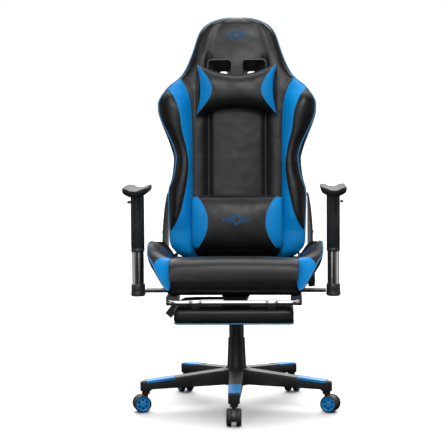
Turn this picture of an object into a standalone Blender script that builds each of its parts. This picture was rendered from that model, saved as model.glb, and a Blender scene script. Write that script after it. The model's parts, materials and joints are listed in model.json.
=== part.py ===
"""A gaming chair on a five-arm castor base, with a reclining bucket back, height-adjustable armrests,
two pillows and a footrest that slides out from under the seat and flips over.

Metres, +Z up, the chair faces -Y. The origin is on the floor under the middle of the object's box,
and the gas column stands COLUMN_Y from it.
"""

import math

import bmesh
import bpy
from mathutils import Matrix, Vector

GAP = 0.0003  # what touching parts keep between them

# Column and base
COLUMN_Y = 0.0
ARM_COUNT = 5
CASTER_RADIUS = 0.300
HUB_RADIUS = 0.034
HUB_TOP = 0.1285
ARM_TOP_HUB = 0.125
ARM_TOP_END = 0.0995
BOSS_BOTTOM = 0.067
ARM_START = 0.020
ARM_HALF_HUB = 0.0255
ARM_HALF_END = 0.0180
INSERT_START = 0.208
INSERT_END = 0.300
INSERT_DEPTH = 0.0070
STAND_RADIUS = 0.0213
PISTON_RADIUS = 0.0140
STAND_TOP = 0.318
COVER_SPLIT = 0.222
HOUSING_BOTTOM = 0.335

# Casters: the way each one trails, in degrees from +X
WHEEL_RADIUS = 0.0275
WHEEL_SIDES = 24
WHEEL_WIDTH = 0.0145
WHEEL_INSIDE = 0.0080
CASTER_TRAIL = 0.013
TRAIL_ANGLES = (-90.0, -22.0, 70.0, 115.0, 195.0)

# Seat
TILT_PIVOT = (0.0, -0.050, 0.366)
PLATE_BOTTOM = 0.383
PLATE_TOP = 0.387
FRAME_TOP = 0.399
SEAT_BOTTOM = 0.388
SEAT_FRONT = -0.262
SEAT_REAR = 0.190
SEAT_HALF_WIDTH = 0.196

# Back: its own frame has x across, y to the rear and z up the back
BACK_PIVOT = (0.0, 0.205, 0.455)
BACK_LEAN = math.radians(7.5)
PANEL_FRONT = -0.040
BACK_REAR = 0.035
BOLSTER_EDGE = 0.146
FRAME_TUBE = 0.009
BRACKET_X = 0.200
BRACKET_THICKNESS = 0.005

# Armrests
POST_X = 0.3085
POST_Y = -0.060
FOOT_TOP = 0.404
SLEEVE_BOTTOM = 0.507
PAD_BOTTOM = 0.6835
PAD_TOP = 0.719

# Footrest
RAIL_X = 0.195
RAIL_FRONT = -0.272
RAIL_REAR = -0.005
RAIL_Z = 0.3705
RAIL_RADIUS = 0.0075
FLAP_FRONT = -0.262
FLAP_REAR = -0.115

# Lift lever
LEVER_Y = 0.025
LEVER_Z = 0.346

for old in list(bpy.data.objects):
    bpy.data.objects.remove(old)

parts = bpy.data.collections.new("gaming_chair")
cutters = bpy.data.collections.new("cutters")
for group in (parts, cutters):
    bpy.context.scene.collection.children.link(group)


def finish_of(name, colour, roughness, metallic=0.0):
    material = bpy.data.materials.new(name)
    material.use_nodes = True
    shader = material.node_tree.nodes["Principled BSDF"]
    shader.inputs["Base Color"].default_value = (*colour, 1.0)
    shader.inputs["Roughness"].default_value = roughness
    shader.inputs["Metallic"].default_value = metallic
    return material


BLACK_LEATHER = finish_of("black_leather", (0.020, 0.020, 0.021), 0.42)
NYLON = finish_of("black_nylon", (0.024, 0.024, 0.025), 0.50)
STEEL = finish_of("black_steel", (0.028, 0.028, 0.030), 0.45, 0.6)
CHROME = finish_of("chrome", (0.780, 0.780, 0.790), 0.12, 1.0)
BLUE_PLASTIC = finish_of("blue_plastic", (0.012, 0.220, 0.620), 0.38)
RUBBER = finish_of("castor_rubber", (0.030, 0.030, 0.032), 0.60)


def place(thing, parent=None, location=(0, 0, 0), rotation=(0, 0, 0)):
    thing.parent = parent
    thing.location = location
    thing.rotation_euler = rotation
    return thing


def empty(name, location, rotation=(0, 0, 0), parent=None):
    made = bpy.data.objects.new(name, None)
    parts.objects.link(made)
    return place(made, parent, location, rotation)


def from_bmesh(name, shape, finish=None, **where):
    """A part if it has a finish, and a hidden cutter if it has none."""
    bmesh.ops.recalc_face_normals(shape, faces=shape.faces[:])
    if shape.calc_volume(signed=True) < 0:
        bmesh.ops.reverse_faces(shape, faces=shape.faces[:])
    mesh = bpy.data.meshes.new(name)
    shape.to_mesh(mesh)
    shape.free()
    return from_data(name, mesh, finish, **where)


def from_data(name, data, finish=None, **where):
    made = bpy.data.objects.new(name, data)
    if finish is None:
        cutters.objects.link(made)
        made.hide_render = True
        made.display_type = "WIRE"
    else:
        parts.objects.link(made)
        data.materials.append(finish)
    return place(made, **where)


def box(name, low, high, finish=None, **where):
    low, high = Vector(low), Vector(high)
    shape = bmesh.new()
    size = Matrix.Diagonal((*(high - low), 1.0))
    bmesh.ops.create_cube(shape, size=1.0, matrix=Matrix.Translation((low + high) / 2) @ size)
    return from_bmesh(name, shape, finish, **where)


TURN = {
    "X": Matrix.Rotation(math.pi / 2, 4, "Y"),
    "Y": Matrix.Rotation(-math.pi / 2, 4, "X"),
    "Z": Matrix.Identity(4),
}


def drum(name, radius, start, end, finish=None, along="Z", sides=24, squeeze=1.0, end_radius=None, **where):
    """A cylinder or cone from start to end, which differ along one axis; squeeze is its depth over its width."""
    start, end = Vector(start), Vector(end)
    shape = bmesh.new()
    stand = Matrix.Translation((start + end) / 2) @ TURN[along] @ Matrix.Diagonal((1.0, squeeze, 1.0, 1.0))
    bmesh.ops.create_cone(
        shape,
        cap_ends=True,
        segments=sides,
        radius1=radius,
        radius2=radius if end_radius is None else end_radius,
        depth=(end - start).length,
        matrix=stand @ Matrix.Rotation(math.pi / sides, 4, "Z"),
    )
    return from_bmesh(name, shape, finish, **where)


def turned(name, profile, finish, steps=24, **where):
    """A closed profile of (radius, height) points swept round Z; its outer side runs from top to bottom."""
    mesh = bpy.data.meshes.new(name)
    count = len(profile)
    edges = [(i, (i + 1) % count) for i in range(count)]
    mesh.from_pydata([(radius, 0.0, height) for radius, height in profile], edges, [])
    made = from_data(name, mesh, finish, **where)
    screw = made.modifiers.new("turn", "SCREW")
    screw.steps = screw.render_steps = steps
    screw.use_merge_vertices = True
    screw.merge_threshold = 0.0001
    return made


def sleeve(name, finish, low, high, outer, inner, **where):
    """An open ring whose outer and inner radii are pairs: at its foot and at its top."""
    profile = [(outer[1], high), (outer[0], low), (inner[0], low), (inner[1], high)]
    return turned(name, profile, finish, **where)


def meshed(curve):
    """The mesh of a curve object, in the same place, with its caps welded on. The curve is removed."""
    bpy.context.view_layer.update()
    graph = bpy.context.evaluated_depsgraph_get()
    mesh = bpy.data.meshes.new_from_object(curve.evaluated_get(graph))
    shape = bmesh.new()
    shape.from_mesh(mesh)
    bmesh.ops.remove_doubles(shape, verts=shape.verts[:], dist=0.00001)
    bmesh.ops.recalc_face_normals(shape, faces=shape.faces[:])
    shape.to_mesh(mesh)
    shape.free()
    made = bpy.data.objects.new(curve.name + "_mesh", mesh)
    for group in curve.users_collection:
        group.objects.link(made)
    made.parent = curve.parent
    made.matrix_world = curve.matrix_world
    made.hide_render = curve.hide_render
    made.display_type = curve.display_type
    name = curve.name
    bpy.data.objects.remove(curve)
    made.name = name
    return made


def rod(name, points, radius, finish=None, **where):
    """A round bar with flat ends along a list of points."""
    curve = bpy.data.curves.new(name, "CURVE")
    curve.dimensions = "3D"
    curve.bevel_depth = radius
    curve.bevel_resolution = 2
    curve.use_fill_caps = True
    spline = curve.splines.new("POLY")
    spline.points.add(len(points) - 1)
    for point, position in zip(spline.points, points):
        point.co = (*position, 1.0)
    return meshed(from_data(name, curve, finish, **where))


UPRIGHT = Matrix(((0, 0, 1, 0), (1, 0, 0, 0), (0, 1, 0, 0), (0, 0, 0, 1)))


def plate(name, outline, low, high, finish=None, **where):
    """A flat outline of (y, z) points made solid from x = low to x = high."""
    curve = bpy.data.curves.new(name, "CURVE")
    curve.dimensions = "2D"
    curve.fill_mode = "BOTH"
    curve.extrude = abs(high - low) / 2
    spline = curve.splines.new("POLY")
    spline.points.add(len(outline) - 1)
    for point, (across, up) in zip(spline.points, outline):
        point.co = (across, up, 0.0, 1.0)
    spline.use_cyclic_u = True
    made = meshed(from_data(name, curve, finish))
    made.data.transform(Matrix.Translation(((low + high) / 2, 0, 0)) @ UPRIGHT)
    return place(made, **where)


def arc(centre, radius, first, last, steps):
    """Points on an arc in a plane, with its angles in degrees."""
    angles = [math.radians(first + (last - first) * i / steps) for i in range(steps + 1)]
    return [(centre[0] + radius * math.cos(a), centre[1] + radius * math.sin(a)) for a in angles]


def smooth_value(stations, at):
    """The value at one place of a smooth line through (place, value) stations, which never overshoots them."""
    places = [place for place, _ in stations]
    at = min(max(at, places[0]), places[-1])
    upper = next(i for i in range(1, len(places)) if at <= places[i])
    values = [value for _, value in stations]
    rises = [(values[i + 1] - values[i]) / (places[i + 1] - places[i]) for i in range(len(places) - 1)]

    def slope(i):
        before, after = rises[max(i - 1, 0)], rises[min(i, len(rises) - 1)]
        return 0.0 if before * after <= 0 else 2 * before * after / (before + after)

    span = places[upper] - places[upper - 1]
    t = (at - places[upper - 1]) / span
    start, end = values[upper - 1], values[upper]
    lead, tail = slope(upper - 1) * span, slope(upper) * span
    return (
        start * (2 * t**3 - 3 * t**2 + 1)
        + lead * (t**3 - 2 * t**2 + t)
        + end * (3 * t**2 - 2 * t**3)
        + tail * (t**3 - t**2)
    )


def loft(name, rings, finish, **where):
    """A closed skin over rings that each have as many points, with its two ends filled."""
    shape = bmesh.new()
    made = [[shape.verts.new(point) for point in ring] for ring in rings]
    count = len(rings[0])
    for lower, upper in zip(made, made[1:]):
        for i in range(count):
            j = (i + 1) % count
            shape.faces.new((lower[i], lower[j], upper[j], upper[i]))
    shape.faces.new(made[0])
    shape.faces.new(made[-1])
    bmesh.ops.triangulate(shape, faces=[f for f in shape.faces if len(f.verts) > 4])
    return from_bmesh(name, shape, finish, **where)


def combine(target, other, operation):
    change = target.modifiers.new(operation.lower() + "_" + other.name, "BOOLEAN")
    change.operation = operation
    change.solver = "EXACT"
    change.object = other
    return target


def add(target, *others):
    for other in others:
        combine(target, other, "UNION")
    return target


def cut(target, *others):
    for other in others:
        combine(target, other, "DIFFERENCE")
    return target


def rounded(target, width, segments=2, angle=40):
    edge = target.modifiers.new("round", "BEVEL")
    edge.width = width
    edge.segments = segments
    edge.limit_method = "ANGLE"
    edge.angle_limit = math.radians(angle)
    return target


def mirrored(points):
    """The right half of a ring, bottom to top, made whole by its left half."""
    return points + [(-x, y, z) for x, y, z in reversed(points) if x > 0]


# Base, casters and column


def arm_direction(index):
    return -90.0 + 360.0 / ARM_COUNT * index


def base_arm(name, pivot):
    """One tapered arm along +X of its pivot."""
    start, end = ARM_START, CASTER_RADIUS
    shape = bmesh.new()
    bmesh.ops.create_cube(shape, size=1.0)
    for vertex in shape.verts:
        outer, upper = vertex.co.x > 0, vertex.co.z > 0
        half_width = ARM_HALF_END if outer else ARM_HALF_HUB
        top = ARM_TOP_END if outer else ARM_TOP_HUB
        bottom = 0.0725 if outer else 0.0750
        side = 1 if vertex.co.y > 0 else -1
        vertex.co = (end if outer else start, side * half_width, top if upper else bottom)
    return rounded(from_bmesh(name, shape, parent=pivot), 0.004, 1)


def insert_cap(name, pivot, slack, rise, finish=None):
    """The coloured cap over the outer part of an arm, or the recess that it lies in, which is larger by slack."""
    shape = bmesh.new()
    bmesh.ops.create_cube(shape, size=1.0)
    for vertex in shape.verts:
        outer, upper = vertex.co.x > 0, vertex.co.z > 0
        reach = INSERT_END + slack if outer else INSERT_START - slack
        share = (reach - ARM_START) / (CASTER_RADIUS - ARM_START)
        half = ARM_HALF_HUB + (ARM_HALF_END - ARM_HALF_HUB) * share + 0.0005 + 4 * slack
        top = ARM_TOP_HUB + (ARM_TOP_END - ARM_TOP_HUB) * share
        height = top + rise if upper else top - INSERT_DEPTH - slack
        vertex.co = (reach, half if vertex.co.y > 0 else -half, height)
    return from_bmesh(name, shape, finish, parent=pivot)


def make_base():
    hub = drum("star_base", HUB_RADIUS, (0, 0, 0.070), (0, 0, HUB_TOP), NYLON, sides=30)
    add(hub, drum("hub_flange", 0.0465, (0, 0, 0.0735), (0, 0, ARM_TOP_HUB - 0.0005), sides=30))
    recesses = []
    for index in range(ARM_COUNT):
        number = index + 1
        pivot = empty(f"arm_{number}_axis", (0, COLUMN_Y, 0), (0, 0, math.radians(arm_direction(index))))
        boss = drum(
            f"boss_{number}",
            0.0180,
            (CASTER_RADIUS, 0, BOSS_BOTTOM),
            (CASTER_RADIUS, 0, ARM_TOP_END - 0.0006),
            sides=16,
            parent=pivot,
        )
        add(hub, base_arm(f"arm_{number}", pivot), boss)
        hole = drum(
            f"stem_hole_{number}",
            0.0058,
            (CASTER_RADIUS, 0, 0.060),
            (CASTER_RADIUS, 0, 0.0910),
            sides=12,
            parent=pivot,
        )
        recesses += [hole, insert_cap(f"insert_recess_{number}", pivot, GAP, 0.010)]
        insert = insert_cap(f"arm_insert_{number}", pivot, 0.0, 0.0010, BLUE_PLASTIC)
        rounded(insert, 0.0010, 1)
    bore = drum("column_bore", STAND_RADIUS + GAP, (0, 0, 0.060), (0, 0, 0.140))
    cut(hub, bore, *recesses)


def caster_fork(name, pivot):
    """A round body between the two wheels, with a neck and a stem up into the base."""
    axle = (CASTER_TRAIL, WHEEL_RADIUS)
    half = WHEEL_INSIDE - 0.0004
    fork = plate(name, arc(axle, 0.0262, -24, 204, 14), -half, half, NYLON, parent=pivot)
    fork.data.transform(Matrix.Rotation(-math.pi / 2, 4, "Z"))
    neck = drum(name + "_neck", 0.0070, (0, 0, 0.0440), (0, 0, 0.0600), sides=16, parent=pivot)
    boss = drum(name + "_boss", 0.0125, (0, 0, 0.0562), (0, 0, 0.0660), sides=16, parent=pivot)
    stem = drum(name + "_stem", 0.0053, (0, 0, 0.0600), (0, 0, 0.0900), sides=12, parent=pivot)
    add(fork, neck, boss, stem)
    hole = drum(
        name + "_axle_hole",
        0.0037,
        (CASTER_TRAIL, -0.010, WHEEL_RADIUS),
        (CASTER_TRAIL, 0.010, WHEEL_RADIUS),
        along="Y",
        sides=12,
        parent=pivot,
    )
    cut(fork, hole)


def caster_wheels(name, pivot):
    """Two wheels on their axle, with a flat facet of each at the floor."""
    axle = empty(name + "_axle", (CASTER_TRAIL, 0, WHEEL_RADIUS), parent=pivot)
    corner = WHEEL_RADIUS / math.cos(math.pi / WHEEL_SIDES)
    reach = WHEEL_INSIDE + WHEEL_WIDTH
    discs = [
        ((0, WHEEL_INSIDE, 0), (0, reach, 0)),
        ((0, -reach, 0), (0, -WHEEL_INSIDE, 0)),
    ]
    pair = drum(name, corner, *discs[0], RUBBER, along="Y", sides=WHEEL_SIDES, parent=axle)
    other = drum(name + "_other", corner, *discs[1], along="Y", sides=WHEEL_SIDES, parent=axle)
    spindle = drum(name + "_spindle", 0.0032, (0, -0.012, 0), (0, 0.012, 0), along="Y", sides=12, parent=axle)
    add(pair, spindle, other)


def make_casters():
    for index in range(ARM_COUNT):
        number = index + 1
        direction = math.radians(arm_direction(index))
        spot = (
            CASTER_RADIUS * math.cos(direction),
            COLUMN_Y + CASTER_RADIUS * math.sin(direction),
            0,
        )
        turn = (0, 0, math.radians(TRAIL_ANGLES[index]))
        pivot = empty(f"caster_{number}_axis", spot, turn)
        caster_fork(f"caster_fork_{number}", pivot)
        caster_wheels(f"caster_wheels_{number}", pivot)


def make_column():
    middle = empty("column_axis", (0, COLUMN_Y, 0))
    bore = PISTON_RADIUS + 0.0006
    sleeve("stand_tube", STEEL, 0.0705, STAND_TOP, (STAND_RADIUS,) * 2, (bore,) * 2, parent=middle)
    cover_low = HUB_TOP + 0.0005
    sleeve("cover_lower", NYLON, cover_low, COVER_SPLIT, (0.0305, 0.0270), (0.0289, 0.0253), parent=middle)
    drum("gas_cylinder", PISTON_RADIUS, (0, 0, 0.110), (0, 0, 0.362), STEEL, parent=middle)
    top = HOUSING_BOTTOM - 0.0005
    cap = [
        (0.0238, top),
        (0.0238, 0.137),
        (0.0222, 0.137),
        (0.0222, top - 0.002),
        (PISTON_RADIUS + 0.0004, top - 0.002),
        (PISTON_RADIUS + 0.0004, top),
    ]
    turned("cover_upper", cap, NYLON, parent=middle)


# Tilt mechanism and lift lever


def make_mechanism():
    side = [
        (-0.110, HOUSING_BOTTOM),
        (0.070, HOUSING_BOTTOM),
        (0.070, 0.3545),
        (0.000, 0.3705),
        (-0.040, 0.3770),
        (-0.060, 0.3770),
        (-0.110, 0.3660),
    ]
    housing = plate("tilt_housing", side, -0.036, 0.036, STEEL)
    socket = drum("piston_socket", PISTON_RADIUS + 0.0004, (0, COLUMN_Y, 0.330), (0, COLUMN_Y, 0.3625))
    pin_hole = drum(
        "tilt_pin_bore", 0.0043, (-0.05, *TILT_PIVOT[1:]), (0.05, *TILT_PIVOT[1:]), along="X", sides=16
    )
    slot = box("lever_slot", (-0.050, LEVER_Y - 0.009, 0.3385), (-0.018, LEVER_Y + 0.009, 0.3535))
    screw_hole = drum("screw_hole", 0.0046, (0, -0.080, 0.330), (0, -0.080, 0.350), sides=12)
    cut(housing, socket, pin_hole, slot, screw_hole)
    drum("tilt_pin", 0.0040, (-0.0445, 0, 0), (0.0445, 0, 0), STEEL, along="X", sides=16, location=TILT_PIVOT)
    knob = drum("tension_knob", 0.0200, (0, 0, -0.027), (0, 0, -0.0015), NYLON, sides=16, end_radius=0.0165,
                location=(0, -0.080, HOUSING_BOTTOM))
    screw = drum("knob_screw", 0.0041, (0, 0, -0.010), (0, 0, 0.013), sides=12, location=knob.location)
    add(knob, screw)


def make_lever():
    """The lift lever's rod leaves the housing on the left and ends in a drooping paddle."""
    pivot = empty("lever_axis", (-0.030, LEVER_Y, LEVER_Z))
    rod("lift_lever", [(0.008, 0, 0), (-0.100, 0, 0), (-0.136, 0, -0.002), (-0.150, 0, -0.010)], 0.0050,
        STEEL, parent=pivot)
    half = (0.0235, 0.0045, 0.0125)
    box("lever_paddle", [-h for h in half], half, NYLON, parent=pivot,
        location=(-0.1755, 0, -0.0375), rotation=(0, math.radians(-50), 0))


# Seat


def make_seat_steel():
    low, high = PLATE_BOTTOM, PLATE_TOP
    seat_plate = box("seat_plate", (-0.090, -0.110, low), (0.090, 0.130, high), STEEL)
    for side, name in ((-1, "left"), (1, "right")):
        near, far = sorted((side * 0.0370, side * 0.0410))
        ear = box(f"plate_ear_{name}", (near, -0.072, 0.356), (far, -0.028, low + 0.001))
        add(seat_plate, ear)
    bore = drum("plate_bore", 0.0044, (-0.05, *TILT_PIVOT[1:]), (0.05, *TILT_PIVOT[1:]), along="X", sides=16)
    cut(seat_plate, bore)
    frame = box("seat_frame", (-0.185, -0.200, high + GAP), (0.185, 0.200, FRAME_TOP), STEEL)
    for index, (front, rear) in enumerate(((-0.168, -0.112), (-0.078, 0.085), (0.115, 0.168))):
        cut(frame, box(f"frame_window_{index}", (-0.152, front, 0.38), (0.152, rear, 0.41)))


def seat_ring(y):
    """The seat's section at one y: a flat middle between two raised side wings."""
    wing = smooth_value(((SEAT_FRONT, 0.0), (-0.235, 0.10), (-0.130, 0.80), (-0.050, 1.0), (0.150, 1.0)), y)
    wing = wing if y <= 0.151 else 0.0
    top = smooth_value(((SEAT_FRONT, 0.452), (-0.245, 0.484), (-0.205, 0.5000), (-0.150, 0.4970), (0.030, 0.4730),
                        (0.100, 0.4620), (0.150, 0.4520), (SEAT_REAR, 0.4430)), y)
    low = smooth_value(((SEAT_FRONT, 0.420), (-0.245, 0.396), (-0.225, SEAT_BOTTOM), (SEAT_REAR, SEAT_BOTTOM)), y)
    inward = smooth_value(((SEAT_FRONT, 0.0), (0.080, 0.0), (0.150, 0.018), (SEAT_REAR, 0.018)), y)
    half = SEAT_HALF_WIDTH
    plain = [(0, low), (half - 0.008, low), (half, low + 0.010), (half + 0.002, (low + top) / 2),
             (half, top - 0.016), (half - 0.004, top - 0.006), (half - 0.014, top), (half - 0.06, top), (0, top)]
    winged = [(0, low), (half + 0.006, low), (half + 0.016, low + 0.008), (0.248, 0.440), (0.279, 0.497),
              (0.274, 0.526), (0.254 - inward, 0.530), (half + 0.012, top + 0.003), (0, top)]
    points = []
    for (x_plain, z_plain), (x_wing, z_wing) in zip(plain, winged):
        points.append((x_plain + (x_wing - x_plain) * wing, y, z_plain + (z_wing - z_plain) * wing))
    return mirrored(points)


def make_seat_cushion():
    stations = (SEAT_FRONT, -0.252, -0.235, -0.205, -0.165, -0.110, -0.050, 0.030, 0.090, 0.130, 0.150, 0.1525, SEAT_REAR)
    cushion = loft("seat_cushion", [seat_ring(y) for y in stations], BLACK_LEATHER)
    cut(cushion, box("seat_recess", (-0.1865, -0.2015, 0.37), (0.1865, 0.30, FRAME_TOP + 0.0005)))


def make_recline_brackets():
    """Each steel bracket is bolted under the seat frame and stands up to the recline pivot."""
    outline = [(0.160, 0.3790), (0.222, 0.3790), (0.231, 0.430), (0.227, 0.468), (0.205, 0.4785),
               (0.183, 0.468), (0.177, 0.430), (0.160, 0.402)]
    for side, name in ((-1, "left"), (1, "right")):
        near, far = sorted((side * BRACKET_X, side * (BRACKET_X + BRACKET_THICKNESS)))
        bracket = plate(f"recline_bracket_{name}", outline, near, far, STEEL)
        near, far = sorted((side * 0.140, side * (BRACKET_X + 0.001)))
        add(bracket, box(f"bracket_foot_{name}", (near, 0.160, 0.3790), (far, 0.198, 0.3870)))
        hole = drum(f"bracket_bore_{name}", 0.0085, (side * 0.19, *BACK_PIVOT[1:]), (side * 0.22, *BACK_PIVOT[1:]),
                    along="X", sides=16)
        cut(bracket, hole)


def make_recline_lever():
    """A short handle outside the right hinge, which is pulled back to free the backrest."""
    pivot = empty("recline_lever_axis", BACK_PIVOT)
    hub = (0.0, 0.0)
    arm = arc(hub, 0.016, -35, 200, 10) + arc((-0.026, -0.066), 0.011, 190, 325, 5)
    lever = plate("recline_lever", arm, 0.2508, 0.2560, NYLON, parent=pivot)
    grip = box("lever_grip", (0.2330, -0.038, -0.090), (0.2555, -0.016, -0.054), parent=pivot)
    add(lever, rounded(grip, 0.005, 2))


# Back


OUTLINE = (
    (0.004, 0.1700), (0.014, 0.1870), (0.026, 0.1965), (0.040, 0.2180), (0.060, 0.2245), (0.110, 0.2262),
    (0.200, 0.2290), (0.226, 0.2285), (0.266, 0.2184), (0.300, 0.2135), (0.330, 0.2115), (0.368, 0.2204),
    (0.408, 0.2345), (0.450, 0.2512), (0.490, 0.2620), (0.511, 0.2625), (0.531, 0.2557), (0.5515, 0.2425),
    (0.572, 0.2270), (0.5925, 0.2025), (0.613, 0.1845), (0.633, 0.1735), (0.654, 0.1635), (0.695, 0.1480),
    (0.737, 0.1345), (0.757, 0.1254), (0.779, 0.1067), (0.797, 0.0655), (0.8065, 0.0200),
)
BOLSTER_FRONT = ((0.004, -0.050), (0.060, -0.072), (0.200, -0.080), (0.350, -0.075), (0.500, -0.088),
                 (0.580, -0.062), (0.680, -0.046), (0.8065, -0.036))


def back_ring(up):
    """The back's section at one height: a flat middle panel between two forward bolsters."""
    half = smooth_value(OUTLINE, up)
    bolster = smooth_value(BOLSTER_FRONT, up)
    inner = min(BOLSTER_EDGE, 0.66 * half)
    end = smooth_value(((0.004, 0.55), (0.040, 1.0), (0.740, 1.0), (0.8065, 0.55)), up)
    front, rear = PANEL_FRONT * end, BACK_REAR * end
    bolster = min(bolster * end, front)
    middle = (inner + half) / 2
    points = [(0, rear), (half * 0.70, rear), (half * 0.93, rear * 0.80), (half, rear * 0.25),
              (half, (bolster + rear) * 0.30), (half * 0.985, bolster * 0.80), (middle, bolster),
              (inner + (middle - inner) * 0.3, (bolster + front) * 0.50), (inner, front), (0, front)]
    return mirrored([(x, y, up) for x, y in points])


def belt_window(side, slack):
    """Low and high (x, z) corners of one belt hole in the back, larger by slack."""
    near, far = sorted((side * (0.022 - slack), side * (0.092 + slack)))
    return (near, 0.597 - slack), (far, 0.655 + slack)


def frame_path(start):
    """The back frame's tube: up one side, over the top and down the other."""
    right = [(0.170, start), (0.170, 0.420), (0.140, 0.500), (0.119, 0.570), (0.117, 0.690), (0.105, 0.725),
             (0.080, 0.738)]
    path = right + [(-x, up) for x, up in reversed(right)]
    return [(x, 0.0, up) for x, up in path]


def make_back(pivot):
    cushion = loft("back_cushion", [back_ring(up) for up, _ in OUTLINE], BLACK_LEATHER, parent=pivot)
    cut(cushion, rod("frame_channel", frame_path(-0.030), FRAME_TUBE + 0.001, parent=pivot))
    cut(cushion, drum("tube_channel", 0.0095, (-0.24, 0, 0), (0.24, 0, 0), along="X", sides=16, parent=pivot))
    for side, name in ((-1, "left"), (1, "right")):
        low, high = belt_window(side, 0.0035)
        cut(cushion, box(f"belt_hole_{name}", (low[0], -0.1, low[1]), (high[0], 0.1, high[1]), parent=pivot))

    frame = rod("back_frame", frame_path(0.0), FRAME_TUBE, STEEL, parent=pivot)
    torque_tube = drum("torque_tube", 0.0080, (-0.2105, 0, 0), (0.2105, 0, 0), along="X", sides=16, parent=pivot)
    add(frame, torque_tube)
    for side in (-1, 1):
        start, end = (side * 0.2055, 0, 0), (side * 0.2105, 0, 0)
        add(frame, drum(f"hinge_disc_{side}", 0.0190, start, end, along="X", sides=16, parent=pivot))


def make_belt_bezels(pivot):
    for side, name in ((-1, "left"), (1, "right")):
        inside, rim = belt_window(side, 0.0), belt_window(side, 0.0090)
        outside = belt_window(side, 0.0030)
        bezel = box(f"belt_bezel_{name}", (rim[0][0], -0.0445, rim[0][1]), (rim[1][0], -0.0405, rim[1][1]),
                    NYLON, parent=pivot)
        lining = box(f"bezel_lining_{name}", (outside[0][0], -0.0430, outside[0][1]),
                     (outside[1][0], 0.0360, outside[1][1]), parent=pivot)
        add(bezel, lining)
        cut(bezel, box(f"bezel_hole_{name}", (inside[0][0], -0.1, inside[0][1]),
                       (inside[1][0], 0.1, inside[1][1]), parent=pivot))


def pillow(name, finish, stations, thickness, front, rear, parent, location):
    """A pillow whose height along x follows its stations, closed at both ends."""
    rings = []
    count = 12
    last = stations[-1][0]
    for side in (-1, 1):
        for x, half_height in (reversed(stations) if side < 0 else stations[1:]):
            depth = smooth_value(thickness, abs(x) / last)
            middle = rear - (rear - front) * 0.5
            ring = []
            for i in range(count):
                angle = 2 * math.pi * i / count
                across = math.copysign(abs(math.cos(angle)) ** 0.75, math.cos(angle))
                up = math.copysign(abs(math.sin(angle)) ** 0.75, math.sin(angle))
                ring.append((side * x, middle + (rear - front) / 2 * depth * across, half_height * up))
            rings.append(ring)
    return loft(name, rings, finish, parent=parent, location=location)


def make_pillows(pivot):
    round_end = ((0.0, 1.0), (0.80, 0.96), (0.95, 0.75), (1.0, 0.35))
    neck = ((0.0, 0.0530), (0.040, 0.0560), (0.080, 0.0660), (0.110, 0.0760), (0.126, 0.0800), (0.1310, 0.0740))
    pillow("head_pillow", BLACK_LEATHER, neck, round_end, -0.1150, -0.0460, pivot, (0, 0, 0.5560))
    waist = ((0.0, 0.0890), (0.060, 0.0890), (0.110, 0.0885), (0.138, 0.0840), (0.1485, 0.0700))
    pillow("lumbar_pillow", BLACK_LEATHER, waist, round_end, -0.1230, -0.0430, pivot, (0, 0, 0.1165))
    strap = box("pillow_strap", (-0.0330, -0.0455, 0.5990), (0.0330, 0.0415, 0.6150), NYLON, parent=pivot)
    cut(strap, box("strap_inside", (-0.0305, -0.2, 0.59), (0.0305, 0.0390, 0.63), parent=pivot))


def make_hinge_covers(pivot):
    """A long plastic cover outside each hinge, round about the pivot at its foot."""
    outline = arc((0.0, 0.0), 0.040, 180, 360, 10) + [(0.030, 0.110), (0.022, 0.205)]
    outline += arc((0.008, 0.207), 0.014, 0, 180, 6) + [(-0.020, 0.110)]
    for side, name in ((-1, "left"), (1, "right")):
        near, far = sorted((side * 0.2315, side * 0.2500))
        cover = plate(f"hinge_cover_{name}", outline, near, far, NYLON, parent=pivot)
        rounded(cover, 0.003, 1, 60)
        start, end = (side * 0.2110, 0, 0), (side * 0.2330, 0, 0)
        add(cover, drum(f"cover_boss_{name}", 0.0160, start, end, along="X", sides=16, parent=pivot))


# Armrests


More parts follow.
